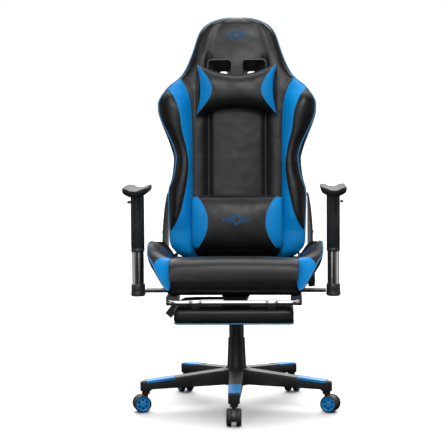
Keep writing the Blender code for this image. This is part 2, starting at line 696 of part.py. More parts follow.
def make_armrest(side, name):
    near, far = sorted((side * 0.095, side * (POST_X - 0.0235)))
    box(f"arm_bracket_{name}", (near, POST_Y - 0.025, 0.3787), (far, POST_Y + 0.025, 0.3868), STEEL)
    oval = 58.0 / 37.5
    foot_x = side * POST_X
    drum(f"arm_foot_{name}", 0.0232, (0, 0, 0.367), (0, 0, FOOT_TOP), NYLON, sides=20, squeeze=75 / 46,
         end_radius=0.0218, location=(foot_x, POST_Y, 0))
    drum(f"arm_post_{name}", 0.01875, (0, 0, FOOT_TOP + GAP), (0, 0, 0.595), CHROME, sides=20, squeeze=oval,
         location=(foot_x, POST_Y, 0))
    slide = empty(f"arm_slide_{name}", (foot_x, POST_Y, 0))
    sheath = drum(f"arm_sleeve_{name}", 0.02125, (0, 0, SLEEVE_BOTTOM), (0, 0, PAD_BOTTOM - GAP), NYLON,
                  sides=20, squeeze=66 / 42.5, parent=slide)
    hollow = drum(f"sleeve_hollow_{name}", 0.01945, (0, 0, 0.480), (0, 0, 0.6790), sides=20, squeeze=60.4 / 38.9,
                  parent=slide)
    cut(sheath, hollow)
    section = [(-0.0405, PAD_TOP - 0.003), (-0.0300, PAD_TOP - 0.0085), (0.0, PAD_TOP - 0.0125),
               (0.0300, PAD_TOP - 0.0085), (0.0405, PAD_TOP - 0.003), (0.0375, PAD_TOP - 0.0190),
               (0.0260, PAD_BOTTOM + 0.0030), (0.0180, PAD_BOTTOM), (-0.0180, PAD_BOTTOM),
               (-0.0260, PAD_BOTTOM + 0.0030), (-0.0375, PAD_TOP - 0.0190)]
    pad = plate(f"arm_pad_{name}", section, -0.125, 0.125, BLACK_LEATHER, parent=slide)
    pad.data.transform(Matrix.Rotation(math.pi / 2, 4, "Z"))
    rounded(pad, 0.003, 1, 60)
    pivot = empty(f"release_axis_{name}", (side * 0.0230, -0.004, 0.6650), parent=slide)
    near, far = sorted((0.0, side * 0.0095))
    release = box(f"arm_release_{name}", (near, -0.022, -0.0060), (far, 0.022, 0.0020), NYLON, parent=pivot)
    rounded(release, 0.0012, 1)


# Footrest


def make_footrest():
    corner = 0.022
    leg_x, front = RAIL_X, RAIL_FRONT
    bend = arc((leg_x - corner, front + corner), corner, 0, -90, 5)
    right = [(leg_x, RAIL_REAR)] + bend
    path = right + [(-x, y) for x, y in reversed(right)]
    rod("footrest_rail", [(x, y, RAIL_Z) for x, y in path], RAIL_RADIUS, CHROME)
    for side, name in ((-1, "left"), (1, "right")):
        near, far = sorted((side * 0.1735, side * 0.2075))
        guide = box(f"footrest_guide_{name}", (near, -0.245, 0.3585), (far, -0.105, 0.3868), NYLON)
        hole = drum(f"guide_hole_{name}", RAIL_RADIUS + 0.0006, (side * leg_x, -0.30, RAIL_Z),
                    (side * leg_x, 0.05, RAIL_Z), along="Y", sides=16)
        cut(rounded(guide, 0.002, 1), hole)

    axis = empty("flap_axis", (0, RAIL_FRONT, RAIL_Z))
    front, rear = FLAP_FRONT - RAIL_FRONT, FLAP_REAR - RAIL_FRONT
    board = box("footrest_board", (-0.170, front, -0.0245), (0.170, rear - 0.006, -0.0165), NYLON, parent=axis)
    for side, name in ((-1, "left"), (1, "right")):
        near, far = sorted((side * 0.100, side * 0.132))
        ear = box(f"board_ear_{name}", (near, -0.0115, -0.0245), (far, 0.0200, 0.0110), parent=axis)
        add(board, rounded(ear, 0.004, 1))
    cut(board, drum("board_bore", RAIL_RADIUS + 0.0006, (-0.16, 0, 0), (0.16, 0, 0), along="X", sides=16, parent=axis))
    pad = box("footrest_pad", (-0.182, front, -0.0685), (0.182, rear, -0.0250), BLACK_LEATHER, parent=axis)
    rounded(pad, 0.010, 2)


make_base()
make_casters()
make_column()
make_mechanism()
make_lever()
make_seat_steel()
make_seat_cushion()
make_recline_brackets()
make_recline_lever()
back_axis = empty("back_axis", BACK_PIVOT, (-BACK_LEAN, 0, 0))
make_back(back_axis)
make_belt_bezels(back_axis)
make_pillows(back_axis)
make_hinge_covers(back_axis)
make_armrest(-1, "left")
make_armrest(1, "right")
make_footrest()
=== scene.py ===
"""The looks of the gaming chair: upholstery with piping and stitching, moulded plastic, chrome and castors.

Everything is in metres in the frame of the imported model. Places come from its boxes and joints.
"""

import json
import math

import bmesh
import bpy
import numpy as np
from mathutils import Matrix, Vector, noise


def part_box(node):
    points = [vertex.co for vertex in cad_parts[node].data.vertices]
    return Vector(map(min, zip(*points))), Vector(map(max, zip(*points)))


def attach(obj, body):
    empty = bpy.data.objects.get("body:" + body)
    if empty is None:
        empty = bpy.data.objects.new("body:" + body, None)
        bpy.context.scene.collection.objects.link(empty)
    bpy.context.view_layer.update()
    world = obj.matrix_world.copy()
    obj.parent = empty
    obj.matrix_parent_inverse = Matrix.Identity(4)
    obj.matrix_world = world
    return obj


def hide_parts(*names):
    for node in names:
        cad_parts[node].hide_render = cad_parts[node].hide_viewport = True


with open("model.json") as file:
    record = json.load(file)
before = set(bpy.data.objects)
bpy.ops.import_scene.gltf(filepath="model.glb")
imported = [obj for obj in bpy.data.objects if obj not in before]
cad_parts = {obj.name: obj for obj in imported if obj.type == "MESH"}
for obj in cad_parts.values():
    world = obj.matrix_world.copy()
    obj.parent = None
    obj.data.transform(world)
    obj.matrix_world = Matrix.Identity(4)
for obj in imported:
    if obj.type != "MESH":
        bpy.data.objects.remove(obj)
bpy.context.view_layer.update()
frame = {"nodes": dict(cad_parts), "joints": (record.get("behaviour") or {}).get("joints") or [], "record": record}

JOINTS = {joint["name"]: joint for joint in frame["joints"]}

# ---------------------------------------------------------------- places taken from the frame

BACK_PIVOT = Vector(JOINTS["recline"]["pos_m"])
BACK_UP = Vector(JOINTS["lumbar_height"]["axis"])
BACK_LEAN = math.atan2(BACK_UP.y, BACK_UP.z)
# The back's own frame: x across, y to the rear, z up the back from the recline pivot.
BACK = Matrix.Translation(BACK_PIVOT) @ Matrix.Rotation(-BACK_LEAN, 4, "X")
BACK_TURN = BACK.to_3x3()
SIDES = ((-1, "left"), (1, "right"))


def box_size(node):
    low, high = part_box(node)
    return low, high, (low + high) / 2, high - low


# ---------------------------------------------------------------- small numeric helpers


def smooth_value(stations, at):
    """The value at one place of a smooth line through (place, value) stations. It never overshoots them."""
    places = [place for place, _ in stations]
    values = [value for _, value in stations]
    at = min(max(at, places[0]), places[-1])
    upper = next(i for i in range(1, len(places)) if at <= places[i])
    rises = [(values[i + 1] - values[i]) / (places[i + 1] - places[i]) for i in range(len(places) - 1)]

    def slope(i):
        before, after = rises[max(i - 1, 0)], rises[min(i, len(rises) - 1)]
        return 0.0 if before * after <= 0 else 2 * before * after / (before + after)

    span = places[upper] - places[upper - 1]
    t = (at - places[upper - 1]) / span
    start, end = values[upper - 1], values[upper]
    lead, tail = slope(upper - 1) * span, slope(upper) * span
    return (
        start * (2 * t**3 - 3 * t**2 + 1)
        + lead * (t**3 - 2 * t**2 + t)
        + end * (3 * t**2 - 2 * t**3)
        + tail * (t**3 - t**2)
    )


def mix(a, b, t):
    return a + (b - a) * t


def spread(low, high, count):
    return [mix(low, high, i / (count - 1)) for i in range(count)]


def bent(value, power):
    """A power that keeps the sign, which squares off a circle's cosine or sine."""
    return math.copysign(abs(value) ** power, value)


def round_angles(count):
    return [2 * math.pi * i / count for i in range(count)]


def ripple(point, scale, seed=0.0):
    return noise.noise(Vector(point) * scale + Vector((seed, seed * 1.7, seed * 0.6)))


# ---------------------------------------------------------------- materials


class Finish:
    """A Principled material with a few node helpers. Patterns are in the object's own metres."""

    def __init__(self, name, roughness, metallic=0.0, **sockets):
        self.material = bpy.data.materials.new(name)
        self.material.use_nodes = True
        self.tree = self.material.node_tree
        self.shader = self.tree.nodes["Principled BSDF"]
        self.shader.inputs["Roughness"].default_value = roughness
        self.shader.inputs["Metallic"].default_value = metallic
        for socket, value in sockets.items():
            self.shader.inputs[socket.replace("_", " ")].default_value = value
        self.place = self.node("ShaderNodeTexCoord").outputs["Object"]
        self.bump_end = None

    def node(self, kind, **settings):
        made = self.tree.nodes.new(kind)
        for name, value in settings.items():
            setattr(made, name, value)
        return made

    def link(self, output, socket):
        self.tree.links.new(output, socket)

    def noise(self, scale, detail=2.0, stretch=None, distortion=0.0):
        source = self.place
        if stretch:
            mapping = self.node("ShaderNodeMapping")
            mapping.inputs["Scale"].default_value = stretch
            self.link(source, mapping.inputs["Vector"])
            source = mapping.outputs["Vector"]
        made = self.node("ShaderNodeTexNoise")
        made.inputs["Scale"].default_value = scale
        made.inputs["Detail"].default_value = detail
        made.inputs["Distortion"].default_value = distortion
        self.link(source, made.inputs["Vector"])
        return made.outputs["Fac"]

    def cells(self, scale, feature="DISTANCE_TO_EDGE"):
        made = self.node("ShaderNodeTexVoronoi", feature=feature)
        made.inputs["Scale"].default_value = scale
        self.link(self.place, made.inputs["Vector"])
        return made.outputs["Distance"]

    def ramp(self, value, dark, light, low=0.35, high=0.65):
        made = self.node("ShaderNodeValToRGB")
        ends = made.color_ramp.elements
        ends[0].position, ends[1].position = low, high
        ends[0].color, ends[1].color = (*dark, 1), (*light, 1)
        self.link(value, made.inputs["Fac"])
        return made.outputs["Color"]

    def colour(self, value, dark, light, low=0.35, high=0.65):
        self.link(self.ramp(value, dark, light, low, high), self.shader.inputs["Base Color"])

    def vary_roughness(self, value, low, high):
        made = self.node("ShaderNodeMapRange")
        made.inputs["To Min"].default_value = low
        made.inputs["To Max"].default_value = high
        self.link(value, made.inputs["Value"])
        self.link(made.outputs["Result"], self.shader.inputs["Roughness"])

    def bump(self, height, strength, distance):
        made = self.node("ShaderNodeBump")
        made.inputs["Strength"].default_value = strength
        made.inputs["Distance"].default_value = distance
        self.link(height, made.inputs["Height"])
        if self.bump_end:
            self.link(self.bump_end, made.inputs["Normal"])
        self.bump_end = made.outputs["Normal"]
        self.link(self.bump_end, self.shader.inputs["Normal"])


def leather(name, dark, light, roughness=(0.34, 0.48), gloss=0.36):
    """Coated upholstery leather: a fine pebble grain, soft dimples and a slightly uneven sheen."""
    made = Finish(name, 0.4, Specular_IOR_Level=gloss)
    made.colour(made.noise(7.0, 4.0, distortion=0.4), dark, light, 0.30, 0.70)
    made.vary_roughness(made.noise(34.0, 3.0), *roughness)
    made.bump(made.noise(70.0, 2.0), 0.12, 0.0010)
    made.bump(made.cells(620.0), 0.16, 0.0003)
    return made.material


def plastic(name, dark, light, roughness, grain=900.0):
    """Moulded plastic with a spark-eroded texture, and faint handling marks in its gloss."""
    made = Finish(name, 0.5)
    made.colour(made.noise(18.0, 5.0), dark, light)
    made.vary_roughness(made.noise(55.0, 4.0), *roughness)
    made.bump(made.noise(grain, 1.0), 0.14, 0.0002)
    return made.material


def painted_steel(name):
    """Powder-coated steel, with the slight orange peel of the coat."""
    made = Finish(name, 0.42, 0.25)
    made.colour(made.noise(25.0, 4.0), (0.014, 0.014, 0.015), (0.026, 0.026, 0.028))
    made.vary_roughness(made.noise(90.0, 3.0), 0.36, 0.52)
    made.bump(made.noise(420.0, 2.0), 0.10, 0.0003)
    return made.material


def chrome_plate(name):
    made = Finish(name, 0.1, 1.0)
    made.colour(made.noise(12.0, 3.0), (0.70, 0.70, 0.72), (0.82, 0.82, 0.83))
    made.vary_roughness(made.noise(300.0, 3.0, stretch=(1.0, 1.0, 0.05)), 0.24, 0.38)
    made.bump(made.noise(500.0, 1.0, stretch=(1.0, 1.0, 0.04)), 0.03, 0.0001)
    return made.material


def rubber(name):
    made = Finish(name, 0.62)
    made.colour(made.noise(40.0, 4.0), (0.018, 0.018, 0.019), (0.040, 0.040, 0.042))
    made.vary_roughness(made.noise(80.0, 3.0), 0.5, 0.72)
    made.bump(made.noise(700.0, 2.0), 0.2, 0.0003)
    return made.material


def woven(name, dark, light, threads):
    """A flat weave of webbing or backing cloth."""
    made = Finish(name, 0.8, Sheen_Weight=0.2, Sheen_Roughness=0.5)
    made.colour(made.cells(threads, "F1"), light, dark, 0.1, 0.9)
    made.bump(made.cells(threads), 0.5, 0.0004)
    made.vary_roughness(made.noise(50.0), 0.7, 0.9)
    return made.material


BLACK = leather("black_leather_look", (0.0050, 0.0050, 0.0053), (0.0095, 0.0095, 0.0099))
BLACK_CHANNEL = leather("black_channel_look", (0.0040, 0.0040, 0.0043), (0.0080, 0.0080, 0.0084), (0.45, 0.6))
BLUE = leather("blue_leather_look", (0.0002, 0.260, 0.700), (0.0006, 0.310, 0.790), (0.46, 0.58), 0.20)
PIPING = leather("blue_piping_look", (0.035, 0.190, 0.400), (0.060, 0.250, 0.480), (0.44, 0.56))
NYLON = plastic("black_nylon_look", (0.026, 0.026, 0.027), (0.038, 0.038, 0.039), (0.38, 0.52))
SOFT_PLASTIC = plastic("armpad_look", (0.010, 0.010, 0.0105), (0.017, 0.017, 0.018), (0.42, 0.58), 500.0)
BLUE_PLASTIC = plastic("blue_plastic_look", (0.0020, 0.260, 0.720), (0.0040, 0.330, 0.840), (0.28, 0.42))
STEEL = painted_steel("black_steel_look")
CHROME = chrome_plate("chrome_look")
RUBBER = rubber("castor_rubber_look")
WEBBING = woven("webbing_look", (0.006, 0.006, 0.006), (0.020, 0.020, 0.021), 700.0)
BACKING = woven("backing_cloth_look", (0.008, 0.008, 0.008), (0.022, 0.022, 0.022), 420.0)
THREAD = woven("black_thread_look", (0.010, 0.010, 0.011), (0.045, 0.045, 0.047), 2500.0)
BLUE_THREAD = woven("blue_thread_look", (0.004, 0.080, 0.220), (0.010, 0.130, 0.340), 2500.0)

CAD_LOOKS = {
    "black_leather": BLACK,
    "black_nylon": NYLON,
    "black_steel": STEEL,
    "chrome": CHROME,
    "blue_plastic": BLUE_PLASTIC,
    "castor_rubber": RUBBER,
}


# ---------------------------------------------------------------- mesh helpers

CLOTH_FRAMES = 20
STITCH_LENGTH, STITCH_PITCH, STITCH_RADIUS = 0.0050, 0.0085, 0.0006


def to_object(name, shape, materials, sharp=35.0):
    """An object from a bmesh, shaded smooth except at edges sharper than the angle."""
    bmesh.ops.recalc_face_normals(shape, faces=shape.faces[:])
    if shape.calc_volume(signed=True) < 0:
        bmesh.ops.reverse_faces(shape, faces=shape.faces[:])
    mesh = bpy.data.meshes.new(name)
    shape.to_mesh(mesh)
    shape.free()
    for material in materials:
        mesh.materials.append(material)
    mesh.shade_smooth()
    mesh.set_sharp_from_angle(angle=math.radians(sharp))
    made = bpy.data.objects.new(name, mesh)
    bpy.context.scene.collection.objects.link(made)
    return made


def skin(name, rings, materials, pick=None, loop=False, sharp=60.0):
    """A closed skin over rings of points. pick(i, j) is the material index of the face after ring i, point j.
    With loop the last ring joins the first; otherwise both ends are filled."""
    shape = bmesh.new()
    made = [[shape.verts.new(point) for point in ring] for ring in rings]
    count = len(rings[0])
    last = len(rings) if loop else len(rings) - 1
    for i in range(last):
        lower, upper = made[i], made[(i + 1) % len(made)]
        for j in range(count):
            k = (j + 1) % count
            face = shape.faces.new((lower[j], lower[k], upper[k], upper[j]))
            face.material_index = pick(i, j) if pick else 0
    if not loop:
        for ring in (made[0], made[-1]):
            cap = shape.faces.new(ring)
            bmesh.ops.triangulate(shape, faces=[cap])
    bmesh.ops.remove_doubles(shape, verts=shape.verts[:], dist=1e-6)
    return to_object(name, shape, materials, sharp)


def turn(name, profile, material, steps=48, place=Matrix.Identity(4)):
    """A profile of (radius, height) points swept round Z, then placed. Its ends may lie on the axis."""
    shape = bmesh.new()
    rings = []
    for radius, height in profile:
        if radius < 1e-6:
            rings.append([shape.verts.new((0, 0, height))])
            continue
        circle = [(radius * math.cos(a), radius * math.sin(a), height) for a in round_angles(steps)]
        rings.append([shape.verts.new(point) for point in circle])
    closed = len(rings[0]) > 1 and len(rings[-1]) > 1
    pairs = list(zip(rings, rings[1:])) + ([(rings[-1], rings[0])] if closed else [])
    for lower, upper in pairs:
        for i in range(steps):
            j = (i + 1) % steps
            corners = [ring[k % len(ring)] for ring, k in ((lower, i), (lower, j), (upper, j), (upper, i))]
            corners = list(dict.fromkeys(corners))
            if len(corners) > 2:
                shape.faces.new(corners)
    shape.transform(place)
    return to_object(name, shape, [material], 40.0)


def tube(name, points, radius, material, cyclic=False, sides=8):
    """A round bar along points, as a mesh with rounded ends."""
    points = [Vector(point) for point in points]
    count = len(points)
    rings = []
    side = None
    for i, point in enumerate(points):
        before = points[i - 1] if cyclic or i else point
        after = points[(i + 1) % count] if cyclic or i < count - 1 else point
        along = (after - before).normalized()
        if side is None:
            side = along.orthogonal().normalized()
        side = (side - along * side.dot(along)).normalized()
        up = along.cross(side)
        rings.append([point + (side * math.cos(a) + up * math.sin(a)) * radius for a in round_angles(sides)])
    if not cyclic:
        ends = ((0, points[0] - points[1]), (-1, points[-1] - points[-2]))
        for where, out in ends:
            centre = points[where] + out.normalized() * radius * 0.6
            tip = [mix(centre, p + out.normalized() * radius * 0.6, 0.55) for p in rings[where]]
            rings.insert(0 if where == 0 else len(rings), tip)
    return skin(name, rings, [material], loop=cyclic)


def ribbon(name, points, widths, across, thickness, material):
    """A flat strap along points, as wide as widths along the across direction."""
    points = [Vector(point) for point in points]
    rings = []
    for i, point in enumerate(points):
        along = (points[min(i + 1, len(points) - 1)] - points[max(i - 1, 0)]).normalized()
        wide = (across - along * across.dot(along)).normalized() * widths / 2
        thick = along.cross(wide).normalized() * thickness / 2
        rim = thickness * 0.3
        near = wide * (1 - rim / (widths / 2))
        corners = ((1, -1, 1), (1, 1, 1), (1, 1, 0), (-1, 1, 0))
        corners += tuple((-s, -t, outer) for s, t, outer in corners)
        rings.append([point + (wide * s + thick * 0.4 * t if outer else near * s + thick * t)
                      for s, t, outer in corners])
    return skin(name, rings, [material])


def rounded_box(name, low, high, radius, material, segments=3, place=Matrix.Identity(4)):
    low, high = Vector(low), Vector(high)
    shape = bmesh.new()
    size = Matrix.Diagonal((*(high - low), 1.0))
    bmesh.ops.create_cube(shape, size=1.0, matrix=Matrix.Translation((low + high) / 2) @ size)
    bmesh.ops.bevel(shape, geom=shape.edges[:], offset=radius, segments=segments, profile=0.5, affect="EDGES")
    shape.transform(place)
    return to_object(name, shape, [material], 50.0)


def join(name, pieces):
    """One object from several with the same body. Materials are kept."""
    shape = bmesh.new()
    materials = []
    for piece in pieces:
        piece.data.transform(piece.matrix_world)
        start = len(shape.faces)
        shape.from_mesh(piece.data)
        shape.faces.ensure_lookup_table()
        slots = []
        for material in piece.data.materials:
            if material not in materials:
                materials.append(material)
            slots.append(materials.index(material))
        for face in shape.faces[start:]:
            face.material_index = slots[face.material_index]
        bpy.data.objects.remove(piece)
    return to_object(name, shape, materials, 40.0)


def oval(half_x, half_y, height):
    """A ring with flattened sides at one height."""
    ring = []
    for angle in round_angles(56):
        x, y = (bent(part, 2 / 2.4) for part in (math.cos(angle), math.sin(angle)))
        ring.append((half_x * x, half_y * y, height))
    return ring


def facing(direction):
    """A rotation that turns +Z to a direction."""
    return Vector(direction).to_track_quat("Z", "Y").to_matrix().to_4x4()


def screw_head(name, at, direction, radius):
    """A button-head screw with a socket, on a washer, facing a direction."""
    steps = ((0, 0.15), (0.45, 0.15), (0.45, 0.55), (0.75, 0.5), (0.97, 0.25), (1.0, 0.0), (1.35, 0.0))
    washer = 0.0005
    profile = [(radius * across, radius * rise) for across, rise in steps]
    profile += [(radius * 1.35, -washer), (0, -washer)]
    return turn(name, profile, STEEL, steps=24, place=Matrix.Translation(at) @ facing(direction))


def cut_away(piece, cutter):
    """Cuts one object from another, keeps the result and removes the cutter."""
    change = piece.modifiers.new("cut", "BOOLEAN")
    change.operation = "DIFFERENCE"
    change.object = cutter
    graph = bpy.context.evaluated_depsgraph_get()
    mesh = bpy.data.meshes.new_from_object(piece.evaluated_get(graph))
    piece.modifiers.clear()
    piece.data = mesh
    bpy.data.objects.remove(cutter)


def inflate(piece, pinned, pressure, cap):
    """Swells a closed skin as cloth under pressure, held at the pinned points, and keeps the result.
    No point moves further than the cap."""
    rest = np.array([v.co for v in piece.data.vertices])
    hold = piece.vertex_groups.new(name="seams")
    hold.add(pinned, 1.0, "REPLACE")
    cloth = piece.modifiers.new("cloth", "CLOTH")
    settings = cloth.settings
    settings.quality = 6
    settings.mass = 0.25
    settings.tension_stiffness = settings.compression_stiffness = 12
    settings.shear_stiffness = 6
    settings.bending_stiffness = 0.4
    settings.use_pressure = True
    settings.uniform_pressure_force = pressure
    settings.vertex_group_mass = "seams"
    settings.effector_weights.gravity = 0.0
    cloth.collision_settings.use_collision = False
    scene = bpy.context.scene
    for number in range(1, CLOTH_FRAMES + 1):
        scene.frame_set(number)
    graph = bpy.context.evaluated_depsgraph_get()
    swollen = np.array([v.co for v in piece.evaluated_get(graph).data.vertices])
    piece.modifiers.remove(cloth)
    scene.frame_set(1)
    move = swollen - rest
    length = np.linalg.norm(move, axis=1, keepdims=True)
    move *= np.minimum(1.0, cap / np.maximum(length, 1e-9))
    piece.data.vertices.foreach_set("co", (rest + move).astype(np.float32).ravel())
    piece.data.update()


def stitches(name, path, lift):
    """A row of short threads along a path, each lifted a little off the surface."""
    path = [Vector(point) for point in path]
    thread = Matrix.Diagonal((STITCH_RADIUS, STITCH_RADIUS, STITCH_LENGTH / 2, 1.0))
    shape = bmesh.new()
    travelled, due = 0.0, STITCH_PITCH / 2
    for start, end in zip(path, path[1:]):
        run = (end - start).length
        while due <= travelled + run:
            at = start.lerp(end, (due - travelled) / run) + lift
            place = Matrix.Translation(at) @ facing(end - start) @ thread
            bmesh.ops.create_uvsphere(shape, u_segments=6, v_segments=4, radius=1.0, matrix=place)
            due += STITCH_PITCH
        travelled += run
    return to_object(name, shape, [THREAD], 80.0)


def finish_piece(piece, body, slot, *replaced, padded=None):
    """Fixes a piece to its body and hides the CAD nodes it stands for. The slot is not used."""
    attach(piece, body)
    if replaced:
        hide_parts(*replaced)


# ---------------------------------------------------------------- camera, light and floor


def make_camera():
    data = bpy.data.cameras.new("camera")
    data.lens, data.sensor_width = 126.4, 36.0
    camera = bpy.data.objects.new("camera", data)
    camera.location = (0.148, -5.0, 1.0)
    turned, tilted, rolled = math.radians(2.125), math.radians(90 - 4.71), math.radians(-0.42)
    aim = Matrix.Rotation(turned, 3, "Z") @ Matrix.Rotation(tilted, 3, "X") @ Matrix.Rotation(rolled, 3, "Z")
    camera.rotation_euler = aim.to_euler()
    bpy.context.scene.collection.objects.link(camera)
    bpy.context.scene.camera = camera


def soft_light(name, place, target, size, power):
    data = bpy.data.lights.new(name, "AREA")
    data.shape = "RECTANGLE"
    data.size, data.size_y = size
    data.energy = power
    lamp = bpy.data.objects.new(name, data)
    lamp.location = place
    lamp.rotation_euler = (Vector(target) - Vector(place)).to_track_quat("-Z", "Y").to_euler()
    bpy.context.scene.collection.objects.link(lamp)


def make_world():
    """White in front and behind, and darker to both sides and below, like a product table between flags."""
    world = bpy.data.worlds.new("studio")
    bpy.context.scene.world = world
    world.use_nodes = True
    tree = world.node_tree

    def math_node(operation, first, second=None):
        made = tree.nodes.new("ShaderNodeMath")
        made.operation = operation
        tree.links.new(first, made.inputs[0])
        if second:
            tree.links.new(second, made.inputs[1])
        return made.outputs[0]

    def fade(source, start, end, first, last, kind="SMOOTHSTEP"):
        made = tree.nodes.new("ShaderNodeMapRange")
        made.interpolation_type = kind
        for socket, value in (("From Min", start), ("From Max", end), ("To Min", first), ("To Max", last)):
            made.inputs[socket].default_value = value
        tree.links.new(source, made.inputs["Value"])
        return made.outputs["Result"]

    way = tree.nodes.new("ShaderNodeTexCoord")
    split = tree.nodes.new("ShaderNodeSeparateXYZ")
    tree.links.new(way.outputs["Generated"], split.inputs["Vector"])
    across = math_node("ABSOLUTE", split.outputs["X"])
    sides, depth = fade(across, 0.20, 0.62, 1.02, 0.05), fade(split.outputs["Y"], -1.0, 0.60, 0.40, 1.0)
    level = math_node("MULTIPLY", sides, depth)
    level = math_node("MULTIPLY", level, fade(split.outputs["Z"], -0.34, -0.04, 0.03, 1.0))
    # A narrow bright strip at each side shows as a line on polished metal.
    level = math_node("ADD", level, fade(across, 0.93, 0.97, 0.0, 0.85, "LINEAR"))
    background = tree.nodes["Background"]
    background.inputs["Color"].default_value = (1, 1, 1, 1)
    tree.links.new(level, background.inputs["Strength"])


def make_studio():
    bpy.context.scene.view_settings.view_transform = "Standard"
    make_world()
    soft_light("key", (0.25, -2.9, 2.9), (0, 0, 0.75), (0.8, 1.4), 62)
    soft_light("fill", (-0.9, -3.6, 1.5), (0, 0, 0.8), (0.7, 1.6), 16)
    data = bpy.data.lights.new("rear_sky", "SUN")
    data.energy = 3.6
    data.angle = math.radians(80)
    sky = bpy.data.objects.new("rear_sky", data)
    sky.rotation_euler = (math.radians(-32), 0, 0)
    bpy.context.scene.collection.objects.link(sky)
    shape = bmesh.new()
    bmesh.ops.create_grid(shape, x_segments=1, y_segments=1, size=30.0)
    floor = to_object("floor", shape, [plain_floor()])
    floor.visible_glossy = False
    floor.visible_diffuse = False


def plain_floor():
    made = Finish("floor_look", 0.6)
    made.colour(made.noise(0.6, 2.0), (0.95, 0.95, 0.95), (0.98, 0.98, 0.98))
    made.shader.inputs["Specular IOR Level"].default_value = 0.1
    return made.material


# ---------------------------------------------------------------- backrest

# The outline and the seams of the back: (height up the back, distance from its middle).
PANEL_FRONT = -0.040
BACK_REAR = 0.035
OUTLINE = (
    (0.004, 0.1770), (0.014, 0.1960), (0.026, 0.2080), (0.040, 0.2190), (0.060, 0.2245), (0.110, 0.2262),
    (0.200, 0.2290), (0.226, 0.2285), (0.266, 0.2184), (0.300, 0.2135), (0.330, 0.2115), (0.368, 0.2204),
    (0.408, 0.2345), (0.450, 0.2512), (0.490, 0.2620), (0.511, 0.2625), (0.531, 0.2557), (0.5515, 0.2425),
    (0.572, 0.2270), (0.5925, 0.2025), (0.613, 0.1845), (0.633, 0.1735), (0.654, 0.1635), (0.695, 0.1480),
    (0.737, 0.1345), (0.757, 0.1254), (0.779, 0.1067), (0.791, 0.0860), (0.799, 0.0640), (0.8045, 0.0400),
    (0.8065, 0.0120),
)
BLUE_INNER = (
    (0.004, 0.1300), (0.030, 0.1420), (0.060, 0.1460), (0.400, 0.1480), (0.446, 0.1490), (0.508, 0.1525),
    (0.545, 0.1605), (0.575, 0.1720), (0.596, 0.1835), (0.613, 0.1700), (0.633, 0.1580), (0.654, 0.1475),
    (0.695, 0.1315), (0.737, 0.1180), (0.757, 0.1090), (0.779, 0.0900), (0.791, 0.0680), (0.799, 0.0460),
    (0.8045, 0.0240), (0.8065, 0.0060),
)
# The lens is the black panel between the blue stripe and the piping.
LENS_INNER = (
    (0.088, 0.2230), (0.100, 0.2130), (0.153, 0.1870), (0.196, 0.1767), (0.250, 0.1660), (0.307, 0.1605),
    (0.364, 0.1680), (0.426, 0.1830), (0.477, 0.1895), (0.5245, 0.2050), (0.562, 0.2290),
)
BOLSTER_FRONT = (
    (0.004, -0.046), (0.060, -0.068), (0.200, -0.078), (0.350, -0.073), (0.500, -0.085), (0.580, -0.062),
    (0.680, -0.047), (0.8065, -0.040),
)
PIPING_INSET = (
    (0.004, 0.0035), (0.200, 0.0030), (0.272, 0.0085), (0.330, 0.0105), (0.368, 0.0115), (0.415, 0.0075),
    (0.460, 0.0040), (0.8065, 0.0035),
)
END_TAPER = (
    (0.004, 0.50), (0.025, 0.90), (0.055, 1.0), (0.735, 1.0), (0.780, 0.86), (0.800, 0.55), (0.8065, 0.20),
)
CENTRE_EDGE, CHANNEL_EDGE = 0.0850, 0.1045
SHOULDER = 0.596  # above this height the back has no blue
CHANNEL_TOP = 0.672


def back_seams(up):
    """The x of each seam at one height: piping, lens edge, blue edge, channel edge, centre edge."""
    half = smooth_value(OUTLINE, up)
    piping = half - smooth_value(PIPING_INSET, up)
    blue = min(smooth_value(BLUE_INNER, up), piping - 0.0020)
    lens = piping - 0.0008
    if LENS_INNER[0][0] < up < LENS_INNER[-1][0]:
        lens = min(smooth_value(LENS_INNER, up), piping - 0.0008)
    lens = max(lens, blue + 0.0012)
    fade = min(1.0, blue / 0.146)
    return half, piping, lens, blue, min(CHANNEL_EDGE, 0.80 * blue), min(CENTRE_EDGE, 0.66 * blue) * fade**0.2


REGIONS = {"rear": 10, "gusset": 9, "lens": 7, "blue": 6, "strip": 6, "channel": 4, "centre": 9}
# Each seam is the first point of the region inside it.
SEAM_REGIONS = {"piping": "lens", "lens": "blue", "blue": "strip", "channel": "channel", "centre": "centre"}


